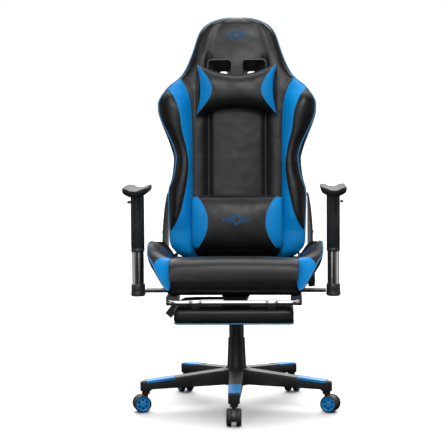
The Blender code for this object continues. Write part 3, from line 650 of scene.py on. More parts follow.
def back_half(up):
    """Points (x, y) from the middle of the rear round to the middle of the front, and each one's region."""
    half, piping, lens, blue, channel, centre = back_seams(up)
    taper = smooth_value(END_TAPER, up)
    bolster = smooth_value(BOLSTER_FRONT, up)
    rear = BACK_REAR - 0.002
    groove = smooth_value(((0.060, 1.0), (0.640, 1.0), (0.690, 0.0)), up)
    flat = smooth_value(((0.560, 0.0), (0.640, 1.0)), up)
    at_pipe = mix(bolster * 0.80, -0.016, flat)
    at_lens = mix(bolster * 0.985, -0.030, flat)
    at_lens = mix(at_pipe - 0.001, at_lens, min(1.0, max(0.0, (piping - lens) / 0.030)))
    at_blue = mix(-0.048, -0.0385, flat)
    marks = {
        "rear": ((0.0, rear), (half - 0.022, rear - 0.003), 0.004, 0.8),
        "gusset": ((half - 0.022, rear - 0.003), (piping, at_pipe), 0.0, 1.0),
        "lens": ((piping, at_pipe), (lens, at_lens), min(0.010, (piping - lens) * 0.22), 0.8),
        "blue": ((lens, at_lens), (blue, at_blue), min(0.009, (lens - blue) * 0.20), 0.8),
        "strip": ((blue, at_blue), (channel, -0.0425), 0.0035 * groove, 0.7),
        "channel": ((channel, -0.0425), (centre, -0.0405), -0.0070 * groove, 1.0),
        "centre": ((centre, -0.0405), (0.0, PANEL_FRONT - 0.0035), 0.0030 * groove, 0.6),
    }
    points = []
    for name, count in REGIONS.items():
        (x0, d0), (x1, d1), puff, power = marks[name]
        for i in range(count):
            t = i / count
            if name == "gusset":
                # from the rear edge out to the widest line and in again to the piping
                angle = math.pi * t
                x = mix(x0, x1, t) + (half - mix(x0, x1, t)) * min(1.0, math.sin(angle) ** 0.6 * 1.02)
                x = min(x, half)
                d = mix(d0, d1, (1 - math.cos(angle)) / 2)
            elif name == "centre":
                x = mix(x0, x1, t)
                d = mix(d0, d1, math.sin(math.pi / 2 * t)) - puff * math.sin(math.pi / 2 * t) ** power
            else:
                x = mix(x0, x1, t)
                outward = 1 if name == "rear" else -1
                d = mix(d0, d1, t) + outward * puff * max(0.0, math.sin(math.pi * t)) ** power
            points.append((x, d * taper, name))
    points.append((0.0, (PANEL_FRONT - 0.0035 - 0.0030 * groove) * taper, "centre"))
    return points


def whole_ring(half_points):
    """The mirrored ring of half points, and the region of each face after each point."""
    ring = [(x, y) for x, y, _ in half_points]
    left = [(-x, y) for x, y in reversed(ring[1:-1])]
    names = [name for _, _, name in half_points[:-1]]
    return ring + left, names + list(reversed(names))


def make_back():
    heights = spread(0.004, 0.060, 11) + spread(0.066, 0.760, 112) + spread(0.764, 0.800, 14)
    heights += [0.8025, 0.8045, 0.8065]
    rings = []
    for up in heights:
        flat, regions = whole_ring(back_half(up))
        ring = []
        for x, d in flat:
            settle = 0.0011 * ripple((x, d, up), 14.0) + 0.0006 * ripple((x, d, up), 42.0, 3.0)
            ring.append(BACK @ Vector((x, d + settle, up)))
        rings.append(ring)

    def pick(i, j):
        if regions[j] == "blue" and heights[i] < SHOULDER:
            return 1
        return 2 if regions[j] == "channel" and heights[i] < CHANNEL_TOP else 0

    back = skin("backrest_cover", rings, [BLACK, BLUE, BLACK_CHANNEL], pick)
    cut_belt_holes(back)
    finish_piece(back, "back", "black_leather", "back_cushion", padded=0.8)
    return back


def back_line(seam, low, high, count, proud):
    """Points along one seam on the front, for the right side. proud is how far they stand off it."""
    index = 0
    for name, points in REGIONS.items():
        if name == SEAM_REGIONS[seam]:
            break
        index += points
    line = []
    for up in spread(low, high, count):
        x, d, _ = back_half(up)[index]
        line.append(Vector((x, d - proud, up)))
    return line


def both_sides(line):
    """A line in the back's frame and its mirror image, in the row frame."""
    right = [BACK @ point for point in line]
    left = [BACK @ Vector((-p.x, p.y, p.z)) for p in line]
    return (("right", right), ("left", left))


def cut_belt_holes(back):
    for side, name in SIDES:
        near, far = sorted((side * 0.0195, side * 0.0945))
        low, high = (near, -0.08, 0.5945), (far, 0.08, 0.6575)
        cut_away(back, rounded_box(f"belt_cutter_{name}", low, high, 0.006, BLACK, place=BACK))


def rounded_rectangle(low, high, grow, radius, depth):
    """A ring in the back's x-z plane round a window, grown outwards, at a depth."""
    x0, z0 = low[0] - grow, low[1] - grow
    x1, z1 = high[0] + grow, high[1] + grow
    radius = radius + grow
    corners = ((x1 - radius, z1 - radius, 0), (x0 + radius, z1 - radius, 90), (x0 + radius, z0 + radius, 180),
               (x1 - radius, z0 + radius, 270))
    ring = []
    for x, z, start in corners:
        for step in range(7):
            angle = math.radians(start + 15 * step)
            ring.append(BACK @ Vector((x + radius * math.cos(angle), depth, z + radius * math.sin(angle))))
    return ring


def make_bezels():
    """Each belt hole has a moulded ring with a lip on the cover, and a sleeve that narrows to the rear."""
    front = ((0.0220, 0.5970), (0.0920, 0.6550))
    rear = ((0.0335, 0.5985), (0.0605, 0.6320))
    # how far each ring lies outside the window, its depth, and how far it has narrowed to the rear window
    steps = (
        (0.0088, -0.0400, 0.0), (0.0090, -0.0425, 0.0), (0.0070, -0.0462, 0.0), (0.0035, -0.0468, 0.0),
        (0.0008, -0.0445, 0.0), (0.0000, -0.0400, 0.0), (0.0000, 0.0300, 0.92), (0.0000, 0.0362, 1.0),
        (0.0065, 0.0368, 0.6), (0.0090, 0.0355, 0.0), (0.0024, 0.0345, 0.0), (0.0024, -0.0385, 0.0),
    )
    for side, name in SIDES:
        rings = []
        for grow, depth, narrowed in steps:
            low, high = ([mix(a, b, narrowed) for a, b in zip(front[k], rear[k])] for k in (0, 1))
            if side < 0:
                low[0], high[0] = -high[0], -low[0]
            rings.append(rounded_rectangle(low, high, grow, 0.008, depth))
        bezel = skin(f"belt_bezel_{name}_look", rings, [NYLON], loop=True, sharp=50)
        finish_piece(bezel, "back", "black_nylon", f"belt_bezel_{name}")


def make_back_trim():
    """The piping round the outer edge, the seams beside the blue and round the head, and the stitching."""
    lines = (
        ("edge_piping", back_line("piping", 0.020, 0.7985, 160, 0.0008), 0.0026, PIPING),
        ("blue_seam", back_line("blue", 0.012, 0.594, 110, -0.0004), 0.0012, BLACK_CHANNEL),
        ("lens_seam", back_line("lens", 0.096, 0.558, 90, -0.0002), 0.0012, BLACK_CHANNEL),
        ("head_seam", back_line("blue", 0.598, 0.8000, 60, -0.0002), 0.0013, BLACK_CHANNEL),
    )
    for name, line, radius, material in lines:
        for side, points in both_sides(line):
            piece = tube(f"{name}_{side}", points, radius, material)
            finish_piece(piece, "back", "blue_leather" if material is PIPING else "black_leather")
    top = dict(both_sides(back_line("piping", 0.7985, 0.8055, 8, 0.0008)))
    piece = tube("edge_piping_top", top["left"] + list(reversed(top["right"])), 0.0022, PIPING)
    finish_piece(piece, "back", "blue_leather")
    lift = BACK_TURN @ Vector((0, -1, 0)) * 0.0007
    rows = (
        ("channel_stitch", back_line("channel", 0.040, 0.650, 120, 0.0), 0.0035),
        ("centre_stitch", back_line("centre", 0.040, 0.650, 120, 0.0), -0.0035),
        ("blue_stitch", back_line("blue", 0.040, 0.585, 120, 0.0), -0.0040),
        ("head_stitch", back_line("blue", 0.612, 0.785, 60, 0.0), -0.0040),
    )
    for name, line, shift in rows:
        line = [Vector((p.x + shift, p.y - 0.0008, p.z)) for p in line]
        for side, points in both_sides(line):
            finish_piece(stitches(f"{name}_{side}", points, lift), "back", "black_leather")


make_camera()
make_studio()
backrest = make_back()
make_bezels()
make_back_trim()

# ---------------------------------------------------------------- seat

# The seat's profiles from front to rear: (y, height) or (y, distance from the middle).
SEAT_TOP = (
    (-0.262, 0.4390), (-0.2612, 0.4480), (-0.2585, 0.4640), (-0.2530, 0.4790), (-0.2430, 0.4905),
    (-0.2280, 0.4980), (-0.2050, 0.5008), (-0.1500, 0.4980), (0.030, 0.4740), (0.100, 0.4630),
    (0.150, 0.4520), (0.190, 0.4430),
)
SEAT_LOW = (
    (-0.262, 0.4340), (-0.2612, 0.4230), (-0.2585, 0.4090), (-0.2520, 0.3975), (-0.2400, 0.3900),
    (-0.2200, 0.3882), (0.190, 0.3882),
)
RIDGE_X = (
    (-0.262, 0.1900), (-0.2585, 0.1945), (-0.2520, 0.1985), (-0.240, 0.2040), (-0.200, 0.2290),
    (-0.160, 0.2530), (-0.110, 0.2735), (-0.060, 0.2745), (0.000, 0.2690), (0.090, 0.2640),
    (0.120, 0.2590), (0.140, 0.2480), (0.150, 0.2380), (0.1515, 0.1985), (0.190, 0.1940),
)
RIDGE_Z = (
    (-0.262, 0.4360), (-0.2612, 0.4300), (-0.2585, 0.4160), (-0.252, 0.4060), (-0.240, 0.4045),
    (-0.200, 0.4340), (-0.160, 0.4730), (-0.110, 0.5060), (-0.070, 0.5270), (-0.040, 0.5320),
    (0.000, 0.5310), (0.060, 0.5250), (0.100, 0.5205), (0.150, 0.5150), (0.1515, 0.4560), (0.190, 0.4380),
)
WING_OPEN = ((-0.262, 0.0), (-0.200, 0.4), (-0.110, 1.0), (0.149, 1.0), (0.1515, 0.0))
SEAT_HALF = 0.1965
RECESS_START = -0.2015
RECESS_TOP = 0.3998
RECESS_STEPS = (0.0, 0.050, 0.100, 0.140, 0.170, 0.1862, 0.1868, 0.1900)
UNDERSIDE_START = -0.232
RIDGE_INDEX, SEAM_INDEX = 16, 24
WING_BLUE_END = -0.1400
WING_BLUE_TIP = -0.2600


def wing_point(y, t):
    """A point (x, z) on the inner face of a wing: t is 0 at the ridge and 1 at the seam beside the seat."""
    top = smooth_value(SEAT_TOP, y)
    ridge = Vector((smooth_value(RIDGE_X, y), smooth_value(RIDGE_Z, y)))
    seam = Vector((SEAT_HALF, max(top - 0.006, ridge.y + 0.001 if y < -0.255 else 0.0)))
    puff = 0.006 * math.sin(math.pi * t) ** 0.8 * min(1.0, (ridge - seam).length / 0.05)
    run = (seam - ridge).normalized()
    out = Vector((-abs(run.y), abs(run.x)))
    return ridge.lerp(seam, t) + out * puff


def wing_shift(y, t):
    """The y of a wing point from its ring, forwards, so that one ring follows the edge of the blue."""
    return -0.022 * (1 - t) ** 3 * math.exp(-(((y - WING_BLUE_END) / 0.035) ** 2))


def seat_half(y):
    """Points (x, y, z, region) from the middle of the underside round a wing to the middle of the top."""
    top, low = smooth_value(SEAT_TOP, y), smooth_value(SEAT_LOW, y)
    edge = y + wing_shift(y, 0.0)
    ridge = wing_point(edge, 0.0)
    open_wing = smooth_value(WING_OPEN, y)
    corner = Vector((SEAT_HALF - 0.004 + 0.006 * open_wing, low))
    widest = ridge + Vector((0.006, -0.028)) * open_wing + Vector((0.002, -0.002)) * (1 - open_wing)
    points = []
    for i in range(8):
        x, z = mix(0.0, corner.x, i / 8), low
        if y > RECESS_START:
            x, z = RECESS_STEPS[i], RECESS_TOP if i < 6 else low
        points.append((x, y, z, "bottom"))
    for i in range(8):
        # a curve that leaves the corner, passes the widest line and comes in to the ridge
        t = i / 8
        swell = widest + Vector((0.004, 0.0)) * open_wing
        p = corner.lerp(swell, t).lerp(swell.lerp(ridge, t), t)
        points.append((p.x, mix(y, edge, t * t), p.y, "gusset"))
    for i in range(8):
        t = i / 8
        at = y + wing_shift(y, t)
        p = wing_point(at, t)
        points.append((p.x, at, p.y, "wing"))
    seam = wing_point(y, 1.0)
    for i in range(12):
        t = i / 12
        bulge = (top - seam.y + 0.0015) * (min(1.0, math.sin(math.pi / 2 * t) ** 0.42) if t else 0.0)
        points.append((mix(seam.x, 0.0, t), y, seam.y + bulge, "top"))
    points.append((0.0, y, top + 0.0015, "top"))
    return points


def make_seat():
    depths = (spread(-0.262, -0.236, 22) + spread(-0.233, -0.2020, 11) + [-0.2010] + spread(-0.197, 0.118, 78)
              + spread(0.122, 0.149, 10) + [0.1500, 0.1515] + spread(0.156, 0.190, 9))
    rings = []
    for y in depths:
        half_points = seat_half(y)
        regions = [name for *_, name in half_points[:-1]]
        regions += list(reversed(regions))
        flat = [point[:3] for point in half_points]
        flat += [(-x, at, z) for x, at, z in reversed(flat[1:-1])]
        ring = []
        for region, (x, at, z) in zip(regions, flat):
            settle = 0.0012 * ripple((x, at, z), 12.0, 5.0) + 0.0006 * ripple((x, at, z), 36.0, 9.0)
            if region == "bottom" and y > -0.240:
                settle = 0.0
            ring.append(Vector((x, at, z + settle)))
        rings.append(ring)

    def pick(i, j):
        if regions[j] == "wing" and WING_BLUE_TIP < depths[i] < WING_BLUE_END - 0.001:
            return 1
        return 2 if regions[j] == "bottom" and depths[i] > UNDERSIDE_START else 0

    seat = skin("seat_cover", rings, [BLACK, BLUE, BACKING], pick)
    finish_piece(seat, "seat", "black_leather", "seat_cushion", padded=0.8)


def seat_line(index, low, high, count, lift=0.0, out=0.0):
    """Points along one line of the seat, from front to rear, for the right side."""
    line = []
    for y in spread(low, high, count):
        x, at, z, _ = seat_half(y)[index]
        line.append(Vector((x + out, at, z + lift)))
    return line


def make_seat_trim():
    lines = (
        ("seat_edge_piping", seat_line(RIDGE_INDEX, -0.250, 0.020, 110, 0.0008, 0.0004), 0.0026, PIPING),
        ("seat_edge_seam", seat_line(RIDGE_INDEX, 0.020, 0.149, 50, 0.0002), 0.0016, BLACK_CHANNEL),
        ("seat_seam", seat_line(SEAM_INDEX, -0.258, 0.148, 100), 0.0013, BLACK_CHANNEL),
    )
    for name, line, radius, material in lines:
        for side, end in SIDES:
            points = [Vector((side * p.x, p.y, p.z)) for p in line]
            piece = tube(f"{name}_{end}", points, radius, material)
            finish_piece(piece, "seat", "blue_leather" if material is PIPING else "black_leather")
    for side, end in SIDES:
        seam = seat_line(SEAM_INDEX, -0.235, 0.130, 100)
        line = [Vector((side * (p.x - 0.005), p.y, p.z + 0.0035)) for p in seam]
        finish_piece(stitches(f"seat_stitch_{end}", line, Vector((0, 0, 0.0006))), "seat", "black_leather")


make_seat()
make_seat_trim()

# ---------------------------------------------------------------- pillows


def make_pillow(name, node, body, centre, heights, seam, end, front, rear, sag, fill):
    """A stuffed pillow with a black middle and blue ends. seam and end are the x of the seam and the end at
    mid height and at the corners, and both bow towards the middle of the pillow. sag lowers its middle."""
    around, middle_cols, end_cols = 40, 26, 9
    columns = [(-1, i / end_cols) for i in range(end_cols)]
    columns += [(0, i / middle_cols) for i in range(middle_cols)]
    columns += [(1, i / end_cols) for i in range(end_cols + 1)]
    rings = []
    for side, share in columns:
        ring = []
        for k in range(around):
            angle = 2 * math.pi * k / around
            level = bent(math.sin(angle), PILLOW_POWER)
            seam_x, end_x = mix(seam[0], seam[1], level**2), mix(end[0], end[1], level**2)
            if side == 0:
                x = mix(-seam_x, seam_x, share)
            elif side < 0:
                x = -mix(end_x, seam_x, math.sin(math.pi / 2 * share))
            else:
                x = mix(seam_x, end_x, math.sin(math.pi / 2 * share))
            away = abs(x) / end_x
            swell = smooth_value(PILLOW_ENDS, away)
            depth = (rear - front) / 2 * swell * (1 - 0.25 * abs(level) ** 6)
            low = sag * max(0.0, 1 - (x / end[0]) ** 2)
            y = (front + rear) / 2 + depth * bent(math.cos(angle), PILLOW_POWER)
            point = Vector((x, y, smooth_value(heights, abs(x)) * level - low))
            point.y += 0.0016 * ripple(point, 22.0, 2.0) + 0.0008 * ripple(point, 60.0, 4.0)
            ring.append(BACK @ (point + centre))
        rings.append(ring)
    is_end = [side != 0 for side, _ in columns]
    pillow = skin(name, rings, [BLACK, BLUE], lambda i, j: 1 if is_end[i] else 0)
    seams = [end_cols, end_cols + middle_cols]
    pinned = [ring * around + k for ring in seams for k in range(around)]
    for ring in range(len(rings)):
        pinned += [ring * around + k for k in range(around) if math.cos(2 * math.pi * k / around) > 0.7]
        pinned += [ring * around + around // 4, ring * around + 3 * around // 4]
    pinned += list(range(around)) + [(len(rings) - 1) * around + k for k in range(around)]
    inflate(pillow, sorted({p for p in pinned if p < len(pillow.data.vertices)}), pressure=3.0, cap=0.006)
    finish_piece(pillow, body, "black_leather", node, padded=fill)
    for ring, end in zip(seams, ("left", "right")):
        piece = tube(f"{name}_seam_{end}", rings[ring], 0.0014, PIPING, cyclic=True)
        finish_piece(piece, body, "blue_leather")
    edge = [ring[around // 4] for ring in rings] + [ring[3 * around // 4] for ring in reversed(rings)]
    piece = tube(f"{name}_edge", edge, 0.0015, BLACK_CHANNEL, cyclic=True)
    finish_piece(piece, body, "black_leather")
    return pillow


def emblem_shapes(width, height):
    """A plain geometric badge: a diamond ring between nested chevrons that point outwards."""
    half = height / 2
    outer = [(half, 0), (0, half), (-half, 0), (0, -half)]
    inner = [(x * 0.62, y * 0.62) for x, y in outer]
    shapes = [[outer[i], outer[(i + 1) % 4], inner[(i + 1) % 4], inner[i]] for i in range(4)]
    line = height * 0.10
    for side in (-1, 1):
        for step, reach in ((0, 0.72), (1, 0.50), (2, 0.30)):
            start = half * 0.72 + step * (width / 2 - half) * 0.42
            tall, point = half * reach, half * 0.36 + start
            for way in (-1, 1):
                bar = [(start, way * tall), (start + line, way * tall), (point + line, 0), (point, 0)]
                shapes.append([(side * x, z) for x, z in bar])
    return shapes


def make_emblem(name, body, surface, centre, width, height):
    """The badge is cut into small squares, laid on the surface and given a thread-thick body."""
    shape = bmesh.new()
    for outline in emblem_shapes(width, height):
        face = shape.faces.new([shape.verts.new((x, 0, z)) for x, z in outline])
        bmesh.ops.subdivide_edges(shape, edges=list(face.edges), cuts=3, use_grid_fill=True)
    graph = bpy.context.evaluated_depsgraph_get()
    target = surface.evaluated_get(graph)
    inverse = target.matrix_world.inverted()
    lift = 0.0010
    way = BACK_TURN @ Vector((0, 1, 0))
    for vertex in shape.verts:
        start = BACK @ (Vector((vertex.co.x, -0.2, vertex.co.z)) + centre)
        hit, place, _, _ = target.ray_cast(inverse @ start, inverse.to_3x3() @ way)
        if not hit:
            raise RuntimeError(f"{name} misses its surface")
        vertex.co = target.matrix_world @ place - way * lift
    made = bmesh.ops.extrude_face_region(shape, geom=shape.faces[:])
    for vertex in (v for v in made["geom"] if isinstance(v, bmesh.types.BMVert)):
        vertex.co += way * lift * 1.6
    badge = to_object(name, shape, [BLUE_THREAD], 50.0)
    finish_piece(badge, body, "blue_leather")


# Half heights of the pillows by distance from the middle, and how their thickness falls towards the ends.
HEAD_HEIGHTS = ((0.0, 0.0530), (0.040, 0.0560), (0.080, 0.0650), (0.110, 0.0745), (0.1310, 0.0805))
WAIST_HEIGHTS = ((0.0, 0.0890), (0.080, 0.0888), (0.120, 0.0870), (0.140, 0.0835), (0.1500, 0.0780))
PILLOW_POWER = 0.78
PILLOW_ENDS = ((0.0, 1.0), (0.62, 0.98), (0.84, 0.86), (0.95, 0.62), (1.0, 0.22))
make_pillow("head_pillow_cover", "head_pillow", "back", Vector((0, 0, 0.556)), HEAD_HEIGHTS,
            (0.0804, 0.1285), (0.1195, 0.1315), -0.1100, -0.0470, 0.006, 0.85)
waist_pillow = make_pillow(
    "lumbar_pillow_cover", "lumbar_pillow", "lumbar", Vector((0, 0, 0.1165)), WAIST_HEIGHTS,
    (0.0940, 0.1310), (0.1495, 0.1475), -0.1180, -0.0450, 0.0, 0.85,
)
make_emblem("waist_badge", "lumbar", waist_pillow, Vector((0, 0, 0.1165 + 0.008)), 0.095, 0.040)
make_emblem("head_badge", "back", backrest, Vector((0, 0, 0.7430)), 0.080, 0.036)


def make_strap():
    """The neck pillow's strap: through one belt hole, behind the foam between the holes and back out."""
    half, bend, front, rear = 0.0318, 0.006, -0.0455, 0.0403
    path = [(half, front), (half, rear - bend)]
    path += [(half - bend + bend * math.cos(math.radians(a)), rear - bend + bend * math.sin(math.radians(a)))
             for a in range(15, 91, 15)]
    path += [(-x, d) for x, d in reversed(path)]
    points = [BACK @ Vector((x, d, 0.607)) for x, d in path]
    strap = ribbon("neck_strap", points, 0.0158, BACK_TURN @ Vector((0, 0, 1)), 0.0019, WEBBING)
    finish_piece(strap, "back", "black_nylon", "pillow_strap")
    low, high = (-0.013, 0.0395, 0.5975), (0.013, 0.0455, 0.6165)
    buckle = rounded_box("strap_buckle", low, high, 0.0015, NYLON, place=BACK)
    finish_piece(buckle, "back", "black_nylon")


make_strap()

# ---------------------------------------------------------------- armrests


def make_stack(title, levels, material, base):
    """A column of flattened ovals, from (half width, half depth, height) levels."""
    rings = [[Vector(point) + base for point in oval(*level)] for level in levels]
    return skin(title, rings, [material], sharp=45)


def make_armrest(side, name):
    foot_low, foot_high, foot_mid, foot_size = box_size(f"arm_foot_{name}")
    post_low, post_high, _, post_size = box_size(f"arm_post_{name}")
    sleeve_low, sleeve_high, _, sleeve_size = box_size(f"arm_sleeve_{name}")
    centre = Vector((foot_mid.x, foot_mid.y, 0))

    fx, fy = foot_size.x / 2, foot_size.y / 2
    z0, z1 = foot_low.z, foot_high.z
    shares = (
        (0.90, 0.93, z0), (0.985, 0.99, z0 + 0.0015), (1.0, 1.0, z0 + 0.004), (0.955, 0.97, z0 + 0.015),
        (0.93, 0.955, z0 + 0.0165), (0.955, 0.97, z0 + 0.018), (0.945, 0.96, z1 - 0.003),
        (0.90, 0.93, z1 - 0.0005), (0.84, 0.82, z1),
    )
    foot = make_stack(f"arm_foot_{name}_look", [(fx * x, fy * y, z) for x, y, z in shares], NYLON, centre)
    finish_piece(foot, "seat", "black_nylon", f"arm_foot_{name}")

    px, py = post_size.x / 2, post_size.y / 2
    levels = [(px, py, post_low.z), (px, py, post_high.z - 0.003), (px * 0.9, py * 0.93, post_high.z)]
    post = make_stack(f"arm_post_{name}_look", levels, CHROME, centre)
    finish_piece(post, "seat", "chrome", f"arm_post_{name}")
    # The index strip lies in a flat down the front and the rear of the post.
    for end, where in ((-1, "front"), (1, "rear")):
        y = centre.y + end * (py - 0.0002)
        low = (centre.x - 0.0042, min(y, y + end * 0.0006), post_low.z + 0.0005)
        high = (centre.x + 0.0042, max(y, y + end * 0.0006), post_high.z - 0.006)
        strip = rounded_box(f"index_strip_{name}_{where}", low, high, 0.0002, NYLON, 1)
        finish_piece(strip, "seat", "black_nylon")

    # The sleeve clears the post inside, and has a groove above its lower rim.
    sx, sy = sleeve_size.x / 2, sleeve_size.y / 2
    inner_x, inner_y = px + 0.0008, py + 0.0009
    z0, z1 = sleeve_low.z, sleeve_high.z
    inside = ((0.0, z1 - 0.005), (0.0, z0 + 0.0006), (0.0006, z0))
    levels = [(inner_x + flare, inner_y + flare, z) for flare, z in inside]
    outside = (
        (0.0006, z0), (0.0, z0 + 0.0010), (0.0, z0 + 0.010), (0.0006, z0 + 0.0107), (0.0006, z0 + 0.0123),
        (0.0, z0 + 0.013), (0.0, z1 - 0.030), (0.0, z1 - 0.0012), (0.0012, z1),
    )
    levels += [(sx - inset, sy - inset, z) for inset, z in outside]
    sheath = make_stack(f"arm_sleeve_{name}_look", levels, NYLON, centre)
    finish_piece(sheath, f"arm_{name}", "black_nylon", f"arm_sleeve_{name}")
    make_arm_pad(name)
    make_release(side, name)


def make_release(side, name):
    """The release is a fin on the outside of the sleeve, arched from front to rear."""
    low, high, _, _ = box_size(f"arm_release_{name}")
    inner, outer = (low.x, high.x) if side > 0 else (high.x, low.x)
    mid = high.z - 0.0030
    rings = []
    for t in spread(0.0, 1.0, 9):
        y = mix(low.y, high.y, t)
        reach = mix(inner, outer, math.sin(math.pi * (0.12 + 0.76 * t)) ** 0.6)
        rings.append([(inner, y, high.z), (mix(inner, reach, 0.8), y, high.z - 0.0004), (reach, y, mid),
                      (mix(inner, reach, 0.85), y, mid - 0.0030), (inner, y, low.z + 0.0005)])
    fin = skin(f"arm_release_{name}_look", rings, [NYLON], sharp=50)
    finish_piece(fin, f"release_{name}", "black_nylon", f"arm_release_{name}")


def make_arm_pad(name):
    """A moulded pad, dished along its length, with round ends."""
    low, high, mid, _ = box_size(f"arm_pad_{name}")
    half, reach = (high.x - low.x) / 2, (high.y - low.y) / 2
    under_line = (
        (0.0, 0.0010), (0.32, 0.0012), (0.50, 0.0030), (0.70, 0.0062), (0.86, 0.0100), (0.95, 0.0135),
    )
    rings = []
    for t in spread(-1.0, 1.0, 61):
        # the ends close like half a superellipse, seen from above and from the side
        close = max(0.0, 1 - abs(t) ** 9) ** 0.5
        narrow = max(0.0, 1 - abs(t) ** 7) ** 0.5
        wide = half * mix(0.55, 1.0, narrow)
        y = mid.y + t * reach
        rim = high.z - 0.0008 - 0.0040 * (1 - close)
        dish = 0.0105 * mix(0.6, 1.0, close)
        under = low.z + 0.006 * (1 - close)
        ring = [(x, under + rise) for x, rise in under_line]
        ring += [(0.992, rim - 0.0105), (1.0, rim - 0.0060), (0.985, rim - 0.0022), (0.950, rim - 0.0004)]
        right = ring[:]
        for i in range(1, 15):
            x = mix(0.95, 0.0, i / 14)
            right.append((x, rim - 0.0004 - dish * (1 - (x / 0.95) ** 2)))
        loop = right + [(-x, z) for x, z in reversed(right[1:-1])]
        rings.append([Vector((mid.x + x * wide, y, z)) for x, z in loop])
    pad = skin(f"arm_pad_{name}_look", rings, [SOFT_PLASTIC], sharp=70)
    finish_piece(pad, f"arm_{name}", "black_leather", f"arm_pad_{name}", padded=0.95)


for arm_side, arm_name in SIDES:
    make_armrest(arm_side, arm_name)

# ---------------------------------------------------------------- footrest


def make_footrest():
    """A U-shaped bar, and a flap on it that is a padded board with piping round its lower edge."""
    low, high, mid, size = box_size("footrest_rail")
    radius = size.z / 2
    leg, front, z = high.x - radius, low.y + radius, mid.z
    corner = 0.022
    angles = [math.radians(angle) for angle in range(0, -91, -9)]
    bend = [(leg - corner + corner * math.cos(a), front + corner + corner * math.sin(a)) for a in angles]
    right = [(leg, high.y - 0.0005), (leg, mix(high.y, front, 0.5))] + bend
    path = right + [(-x, y) for x, y in reversed(right)]
    rail = tube("footrest_rail_look", [(x, y, z) for x, y in path], radius, CHROME, sides=24)
    finish_piece(rail, "footrest", "chrome", "footrest_rail")
    for side, name in SIDES:
        cap = tube(f"rail_end_{name}", [(side * leg, high.y - 0.006, z), (side * leg, high.y - 0.0003, z)],
                   radius + 0.0003, NYLON, sides=24)
        finish_piece(cap, "footrest", "black_nylon")

    board_low, board_high, _, _ = box_size("footrest_board")
    low, high, mid, size = box_size("footrest_pad")
    # Each hinge is a thin sleeve round the bar, on a web that goes down into the pad behind it.
    hinges = []
    for side, name in SIDES:
        sleeve_path = [(side * 0.100, front, z), (side * 0.132, front, z)]
        hinges.append(tube(f"pad_hinge_{name}", sleeve_path, radius + 0.0022, CHROME, sides=24))
        web = ((side * 0.104, side * 0.128), (front + 0.0090, front + 0.0150), (high.z - 0.010, z + 0.003))
        web_low, web_high = [min(span) for span in web], [max(span) for span in web]
        hinges.append(rounded_box(f"pad_web_{name}", web_low, web_high, 0.001, NYLON))
    finish_piece(join("footrest_hinges", hinges), "flap", "black_steel", "footrest_board")

    rear = max(board_high.y, high.y) - 0.001
    fore = min(board_low.y, low.y) + 0.001
    top = min(board_high.z, high.z + 0.008)
    depth_mid, depth_half = (rear + fore) / 2, (rear - fore) / 2
    z_mid, z_half = (low.z + top) / 2, (top - low.z) / 2
    rings = []
    for t in spread(-1.0, 1.0, 73):
        close = max(0.0, 1 - abs(t) ** 18) ** 0.5
        x = t * size.x / 2
        ring = []
        for angle in round_angles(52):
            y = depth_mid + depth_half * mix(0.90, 1.0, close) * bent(math.cos(angle), 0.40)
            point = Vector((x, y, z_mid + z_half * mix(0.62, 1.0, close) * bent(math.sin(angle), 0.46)))
            point.z += 0.0008 * ripple(point, 22.0, 7.0) * close
            point.z = min(max(point.z, low.z), top)
            ring.append(point)
        rings.append(ring)
    pad = skin("footrest_pad_cover", rings, [BLACK])
    finish_piece(pad, "flap", "black_leather", "footrest_pad", padded=0.9)
    edge_x, edge_y, edge_z = size.x / 2 - 0.0015, depth_half - 0.0040, low.z + 0.0046
    rim = []
    turn_radius = 0.016
    for x, y, start in ((1, 1, 0), (-1, 1, 90), (-1, -1, 180), (1, -1, 270)):
        for i in range(7):
            a = math.radians(start + 15 * i)
            rim.append((x * (edge_x - turn_radius) + turn_radius * math.cos(a),
                        depth_mid + y * (edge_y - turn_radius) + turn_radius * math.sin(a), edge_z))
    piping = tube("footrest_piping", rim, 0.0024, PIPING, cyclic=True, sides=10)
    finish_piece(piping, "flap", "blue_leather")


make_footrest()

# ---------------------------------------------------------------- castors, base and column


def caster_place(number):
    """A matrix at a castor's swivel axis on the floor, whose +X is the way it trails, and the trail."""
    swivel = Vector(JOINTS[f"caster_swivel_{number}"]["pos_m"])
    axle = Vector(JOINTS[f"wheel_roll_{number}"]["pos_m"])
    way = Vector((axle.x - swivel.x, axle.y - swivel.y))
    place = Matrix.Translation((swivel.x, swivel.y, 0)) @ Matrix.Rotation(math.atan2(way.y, way.x), 4, "Z")
    return place, way.length, axle.z


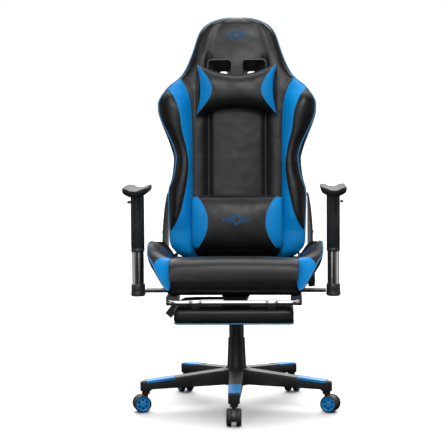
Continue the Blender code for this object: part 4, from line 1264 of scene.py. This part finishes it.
def make_wheel_pair(number, place, trail, radius):
    """Two rubber treads with blue hubs, each with six holes, on one spindle."""
    axle = place @ Matrix.Translation((trail, 0, radius))
    inner, outer = 0.0081, 0.0224
    pieces = []
    for side, end in ((1, "outer"), (-1, "inner")):
        across = axle @ Matrix.Rotation(-side * math.pi / 2, 4, "X")
        face = radius - 0.0002
        tread = [
            (0.0188, inner), (radius - 0.0012, inner), (face, inner + 0.0012), (face, 0.0142),
            (radius - 0.0010, 0.0146), (radius - 0.0010, 0.0158), (face, 0.0162), (face, outer - 0.0030),
            (radius - 0.0012, outer - 0.0010), (radius - 0.0036, outer), (0.0226, outer),
            (0.0221, outer - 0.0012), (0.0188, outer - 0.0012),
        ]
        pieces.append(turn(f"tread_{number}_{end}", tread, RUBBER, 64, across))
        hub = [
            (0, inner + 0.001), (0.0187, inner + 0.001), (0.0187, outer - 0.0040), (0.0218, outer - 0.0040),
            (0.0218, outer - 0.0002), (0.0205, outer + 0.0001), (0.0196, outer - 0.0010),
            (0.0180, outer - 0.0014), (0.0085, outer - 0.0010), (0.0072, outer + 0.0001),
            (0.0045, outer + 0.0001), (0.0035, outer - 0.0008), (0, outer - 0.0008),
        ]
        disc = turn(f"hub_{number}_{end}", hub, BLUE_PLASTIC, 64, across)
        drill = [(0, outer - 0.0060), (0.0042, outer - 0.0060), (0.0042, outer + 0.002), (0, outer + 0.002)]
        holes = []
        for i in range(6):
            angle = math.radians(60 * i + 30)
            spot = across @ Matrix.Translation((0.0136 * math.cos(angle), 0.0136 * math.sin(angle), 0))
            holes.append(turn(f"hub_hole_{i}", drill, BLUE_PLASTIC, 20, spot))
        cut_away(disc, join(f"hub_cutter_{number}_{end}", holes))
        pieces.append(disc)
        # Painted shade: a dark rubber ring, hidden inside the hub, lies at the bottom of the six holes so that
        # they read dark.
        low, high = outer - 0.0058, outer - 0.0052
        hole_shade_ring = [(0.0080, low), (0.0192, low), (0.0192, high), (0.0080, high)]
        pieces.append(turn(f"hub_hole_shade_{number}_{end}", hole_shade_ring, RUBBER, 48, across))
    spindle = [(0, -0.0060), (0.0031, -0.0060), (0.0031, 0.0060), (0, 0.0060)]
    pieces.append(turn(f"spindle_{number}", spindle, STEEL, 24, axle @ Matrix.Rotation(math.pi / 2, 4, "X")))
    pair = join(f"caster_wheels_{number}_look", pieces)
    finish_piece(pair, f"wheels_{number}", "castor_rubber", f"caster_wheels_{number}")


def make_fork(number, place, trail, radius):
    """A flat body between the two wheels, with a neck that rises from it to the swivel boss and the stem."""
    half, round_to = 0.0074, 0.0260
    outline = []
    for angle in spread(-22, 202, 34):
        angle = math.radians(angle)
        outline.append((trail + round_to * math.cos(angle), radius + round_to * math.sin(angle)))
    middle = Vector((trail, radius + 0.004))
    rings = []
    for inset, w in ((0.0012, -half), (0.0, -half + 0.0012), (0.0, half - 0.0012), (0.0012, half)):
        share = inset / round_to
        rings.append([Vector((x + (middle.x - x) * share, w, z + (middle.y - z) * share)) for x, z in outline])
    body = skin(f"fork_body_{number}", rings, [NYLON], sharp=50)
    profile = [
        (0, 0.0445), (0.0068, 0.0445), (0.0068, 0.0555), (0.0115, 0.0566), (0.0125, 0.0580), (0.0125, 0.0645),
        (0.0112, 0.0660), (0.0070, 0.0660), (0.0054, 0.0664), (0.0053, 0.0895), (0.0045, 0.0900), (0, 0.0900),
    ]
    boss = turn(f"boss_{number}", profile, NYLON)
    fork = join(f"caster_fork_{number}_look", [body, boss])
    fork.data.transform(place)
    finish_piece(fork, f"caster_{number}", "black_nylon", f"caster_fork_{number}")


for number in range(1, 6):
    caster_frame, caster_trail, wheel_radius = caster_place(number)
    make_wheel_pair(number, caster_frame, caster_trail, wheel_radius)
    make_fork(number, caster_frame, caster_trail, wheel_radius)


def make_hinge_cover(side, name):
    """A long moulded cover beside the back, which narrows upwards and leans in at its top."""
    low, high, _, _ = box_size(f"hinge_cover_{name}")
    inner, limit = 0.2317, max(abs(low.x), abs(high.x)) - 0.0002
    outer = (
        (-0.040, 0.2480), (-0.020, 0.2498), (0.080, 0.2498), (0.110, 0.2488), (0.160, 0.2450), (0.221, 0.2365),
    )
    foot = ((-0.0396, 0.004), (-0.0375, 0.0130), (-0.030, 0.0258), (-0.015, 0.0365), (0.0, 0.0395))
    front = [(up, -y) for up, y in foot]
    front += [(0.110, -0.0195), (0.206, -0.0055), (0.215, -0.0030), (0.2205, 0.0040)]
    rear = [*foot, (0.110, 0.0295), (0.206, 0.0215), (0.215, 0.0190), (0.2205, 0.0120)]
    rings = []
    for up in spread(-0.0396, -0.020, 9) + spread(-0.016, 0.200, 30) + spread(0.203, 0.2205, 10):
        first, last = smooth_value(front, up), smooth_value(rear, up)
        end = max(0.0, 1 - abs((up - 0.0905) / 0.1302) ** 20) ** 0.5
        face = inner + (min(smooth_value(outer, up), limit) - inner) * mix(0.70, 1.0, end)
        edge = min(0.0065, (last - first) * 0.3)
        section = [
            (inner, first), (face - 0.0070, first), (face - 0.0020, first + 0.3 * edge), (face, first + edge),
            (face, last - edge), (face - 0.0020, last - 0.3 * edge), (face - 0.0070, last), (inner, last),
        ]
        rings.append([BACK @ Vector((side * x, y, up)) for x, y in section])
    cover = skin(f"hinge_cover_{name}_look", rings, [NYLON], sharp=60)
    finish_piece(cover, "back", "black_nylon", f"hinge_cover_{name}")


for cover_side, cover_name in SIDES:
    make_hinge_cover(cover_side, cover_name)


def make_base():
    """Five crowned arms, a hub and a socket for each castor."""
    pieces = []
    for number in range(1, 6):
        swivel = Vector(JOINTS[f"caster_swivel_{number}"]["pos_m"])
        place = Matrix.Rotation(math.atan2(swivel.y, swivel.x), 4, "Z")
        reach = Vector((swivel.x, swivel.y)).length
        rings = []
        for r in spread(0.022, reach + 0.0115, 24):
            t = (r - 0.022) / (reach - 0.022)
            half = mix(0.0252, 0.0178, min(1.0, t))
            if r > reach - 0.004:
                half *= max(0.25, math.cos(math.asin(min(0.97, (r - reach + 0.004) / 0.0165))))
            top = mix(0.1250, 0.0995, min(t, 1.0)) - 0.0003
            bottom = mix(0.0750, 0.0722, min(1.0, t))
            crown = mix(0.0040, 0.0022, t)
            flank = [(0.86, top - 0.0004), (0.96, top - crown), (1.0, top - crown * 2.6),
                     (0.93, bottom + 0.003), (0.80, bottom)]
            section = [(-half * w, z) for w, z in reversed(flank)] + [(0, top)]
            section += [(half * w, z) for w, z in flank]
            rings.append([place @ Vector((r, w, z)) for w, z in section])
        pieces.append(skin(f"base_arm_{number}", rings, [NYLON], sharp=40))
        spot = Matrix.Translation((swivel.x, swivel.y, 0))
        socket = [(0.0064, 0.0672), (0.0172, 0.0672), (0.0180, 0.0682), (0.0180, 0.0960), (0.0064, 0.0960)]
        pieces.append(turn(f"base_socket_{number}", socket, NYLON, 40, spot))
    hub = [
        (0.0217, 0.0700), (0.0325, 0.0700), (0.0340, 0.0715), (0.0462, 0.0740), (0.0465, 0.0760),
        (0.0462, 0.1200), (0.0440, 0.1238), (0.0345, 0.1248), (0.0340, 0.1275), (0.0330, 0.1285),
        (0.0217, 0.1285),
    ]
    pieces.append(turn("base_hub", hub, NYLON, 64))
    base = join("star_base_look", pieces)
    finish_piece(base, "base", "black_nylon", "star_base")


def make_covers():
    """The two telescopic covers of the column."""
    wall = 0.0016
    low, high, _, size = box_size("cover_lower")
    foot, top = size.x / 2, 0.0266
    profile = [
        (foot - wall, low.z), (foot, low.z), (foot, low.z + 0.004), (foot - 0.0004, low.z + 0.005),
        (top + 0.0003, high.z - 0.006), (top + 0.0006, high.z - 0.0045), (top + 0.0006, high.z - 0.001),
        (top, high.z), (top - wall, high.z),
    ]
    finish_piece(turn("cover_lower_look", profile, NYLON, 64), "base", "black_nylon", "cover_lower")
    low, high, _, size = box_size("cover_upper")
    radius, bore = size.x / 2, 0.0146
    profile = [
        (radius - wall, low.z), (radius, low.z), (radius, high.z - 0.012), (radius - 0.0006, high.z - 0.0115),
        (radius - 0.0006, high.z - 0.0100), (radius, high.z - 0.0095), (radius, high.z - 0.001),
        (radius - 0.001, high.z), (bore, high.z), (bore, high.z - 0.002), (radius - wall, high.z - 0.002),
    ]
    finish_piece(turn("cover_upper_look", profile, NYLON, 64), "piston", "black_nylon", "cover_upper")


make_base()
make_covers()


# ---------------------------------------------------------------- hardware and the CAD parts that stay


def dress_cad_parts():
    slots = {part["node"]: part["material_slot"] for part in frame["record"]["subparts"]}
    soft_edges = {"seat_plate": 0.001, "seat_frame": 0.0015, "tilt_housing": 0.002, "lever_paddle": 0.0040}
    for name, node in frame["nodes"].items():
        node.data.materials.clear()
        node.data.materials.append(CAD_LOOKS[slots[name]])
        if node.hide_render:
            continue
        node.data.shade_smooth()
        node.data.set_sharp_from_angle(angle=math.radians(32))
        if name in soft_edges or name.startswith(("arm_bracket", "recline_bracket")):
            edge = node.modifiers.new("soft_edge", "BEVEL")
            edge.width = soft_edges.get(name, 0.0008)
            edge.segments = 2
            edge.limit_method = "ANGLE"


def make_screws():
    down = (0, 0, -1)
    spots = []
    for side, name in SIDES:
        low, high, _, _ = box_size(f"hinge_cover_{name}")
        outer = high.x if side > 0 else low.x
        for up, back in ((0.0, 0.0), (0.090, 0.004)):
            # The right side has no screw at the pivot, where the recline lever sits.
            if up or side < 0:
                at = BACK @ Vector((outer, back, up))
                spots.append((f"cover_screw_{name}_{int(up * 1000)}", at, (side, 0, 0), 0.0042, "back"))
        low, _, mid, _ = box_size(f"arm_bracket_{name}")
        for x in (0.115, 0.140):
            at = Vector((side * x, mid.y, low.z))
            spots.append((f"bracket_bolt_{name}_{int(x * 1000)}", at, down, 0.0060, "seat"))
        low, high, mid, _ = box_size(f"footrest_guide_{name}")
        for y in (low.y + 0.02, high.y - 0.02):
            at = Vector((mid.x - side * 0.010, y, low.z))
            spots.append((f"guide_screw_{name}_{int(-y * 1000)}", at, down, 0.0035, "seat"))
    for x, across in ((-0.075, "l"), (0.075, "r")):
        for y, along in ((-0.095, "f"), (0.100, "b")):
            spots.append((f"plate_bolt_{across}{along}", Vector((x, y, 0.383)), down, 0.0058, "seat"))
    for title, place, way, radius, body in spots:
        finish_piece(screw_head(title, place, way, radius), body, "black_steel")


dress_cad_parts()
make_screws()
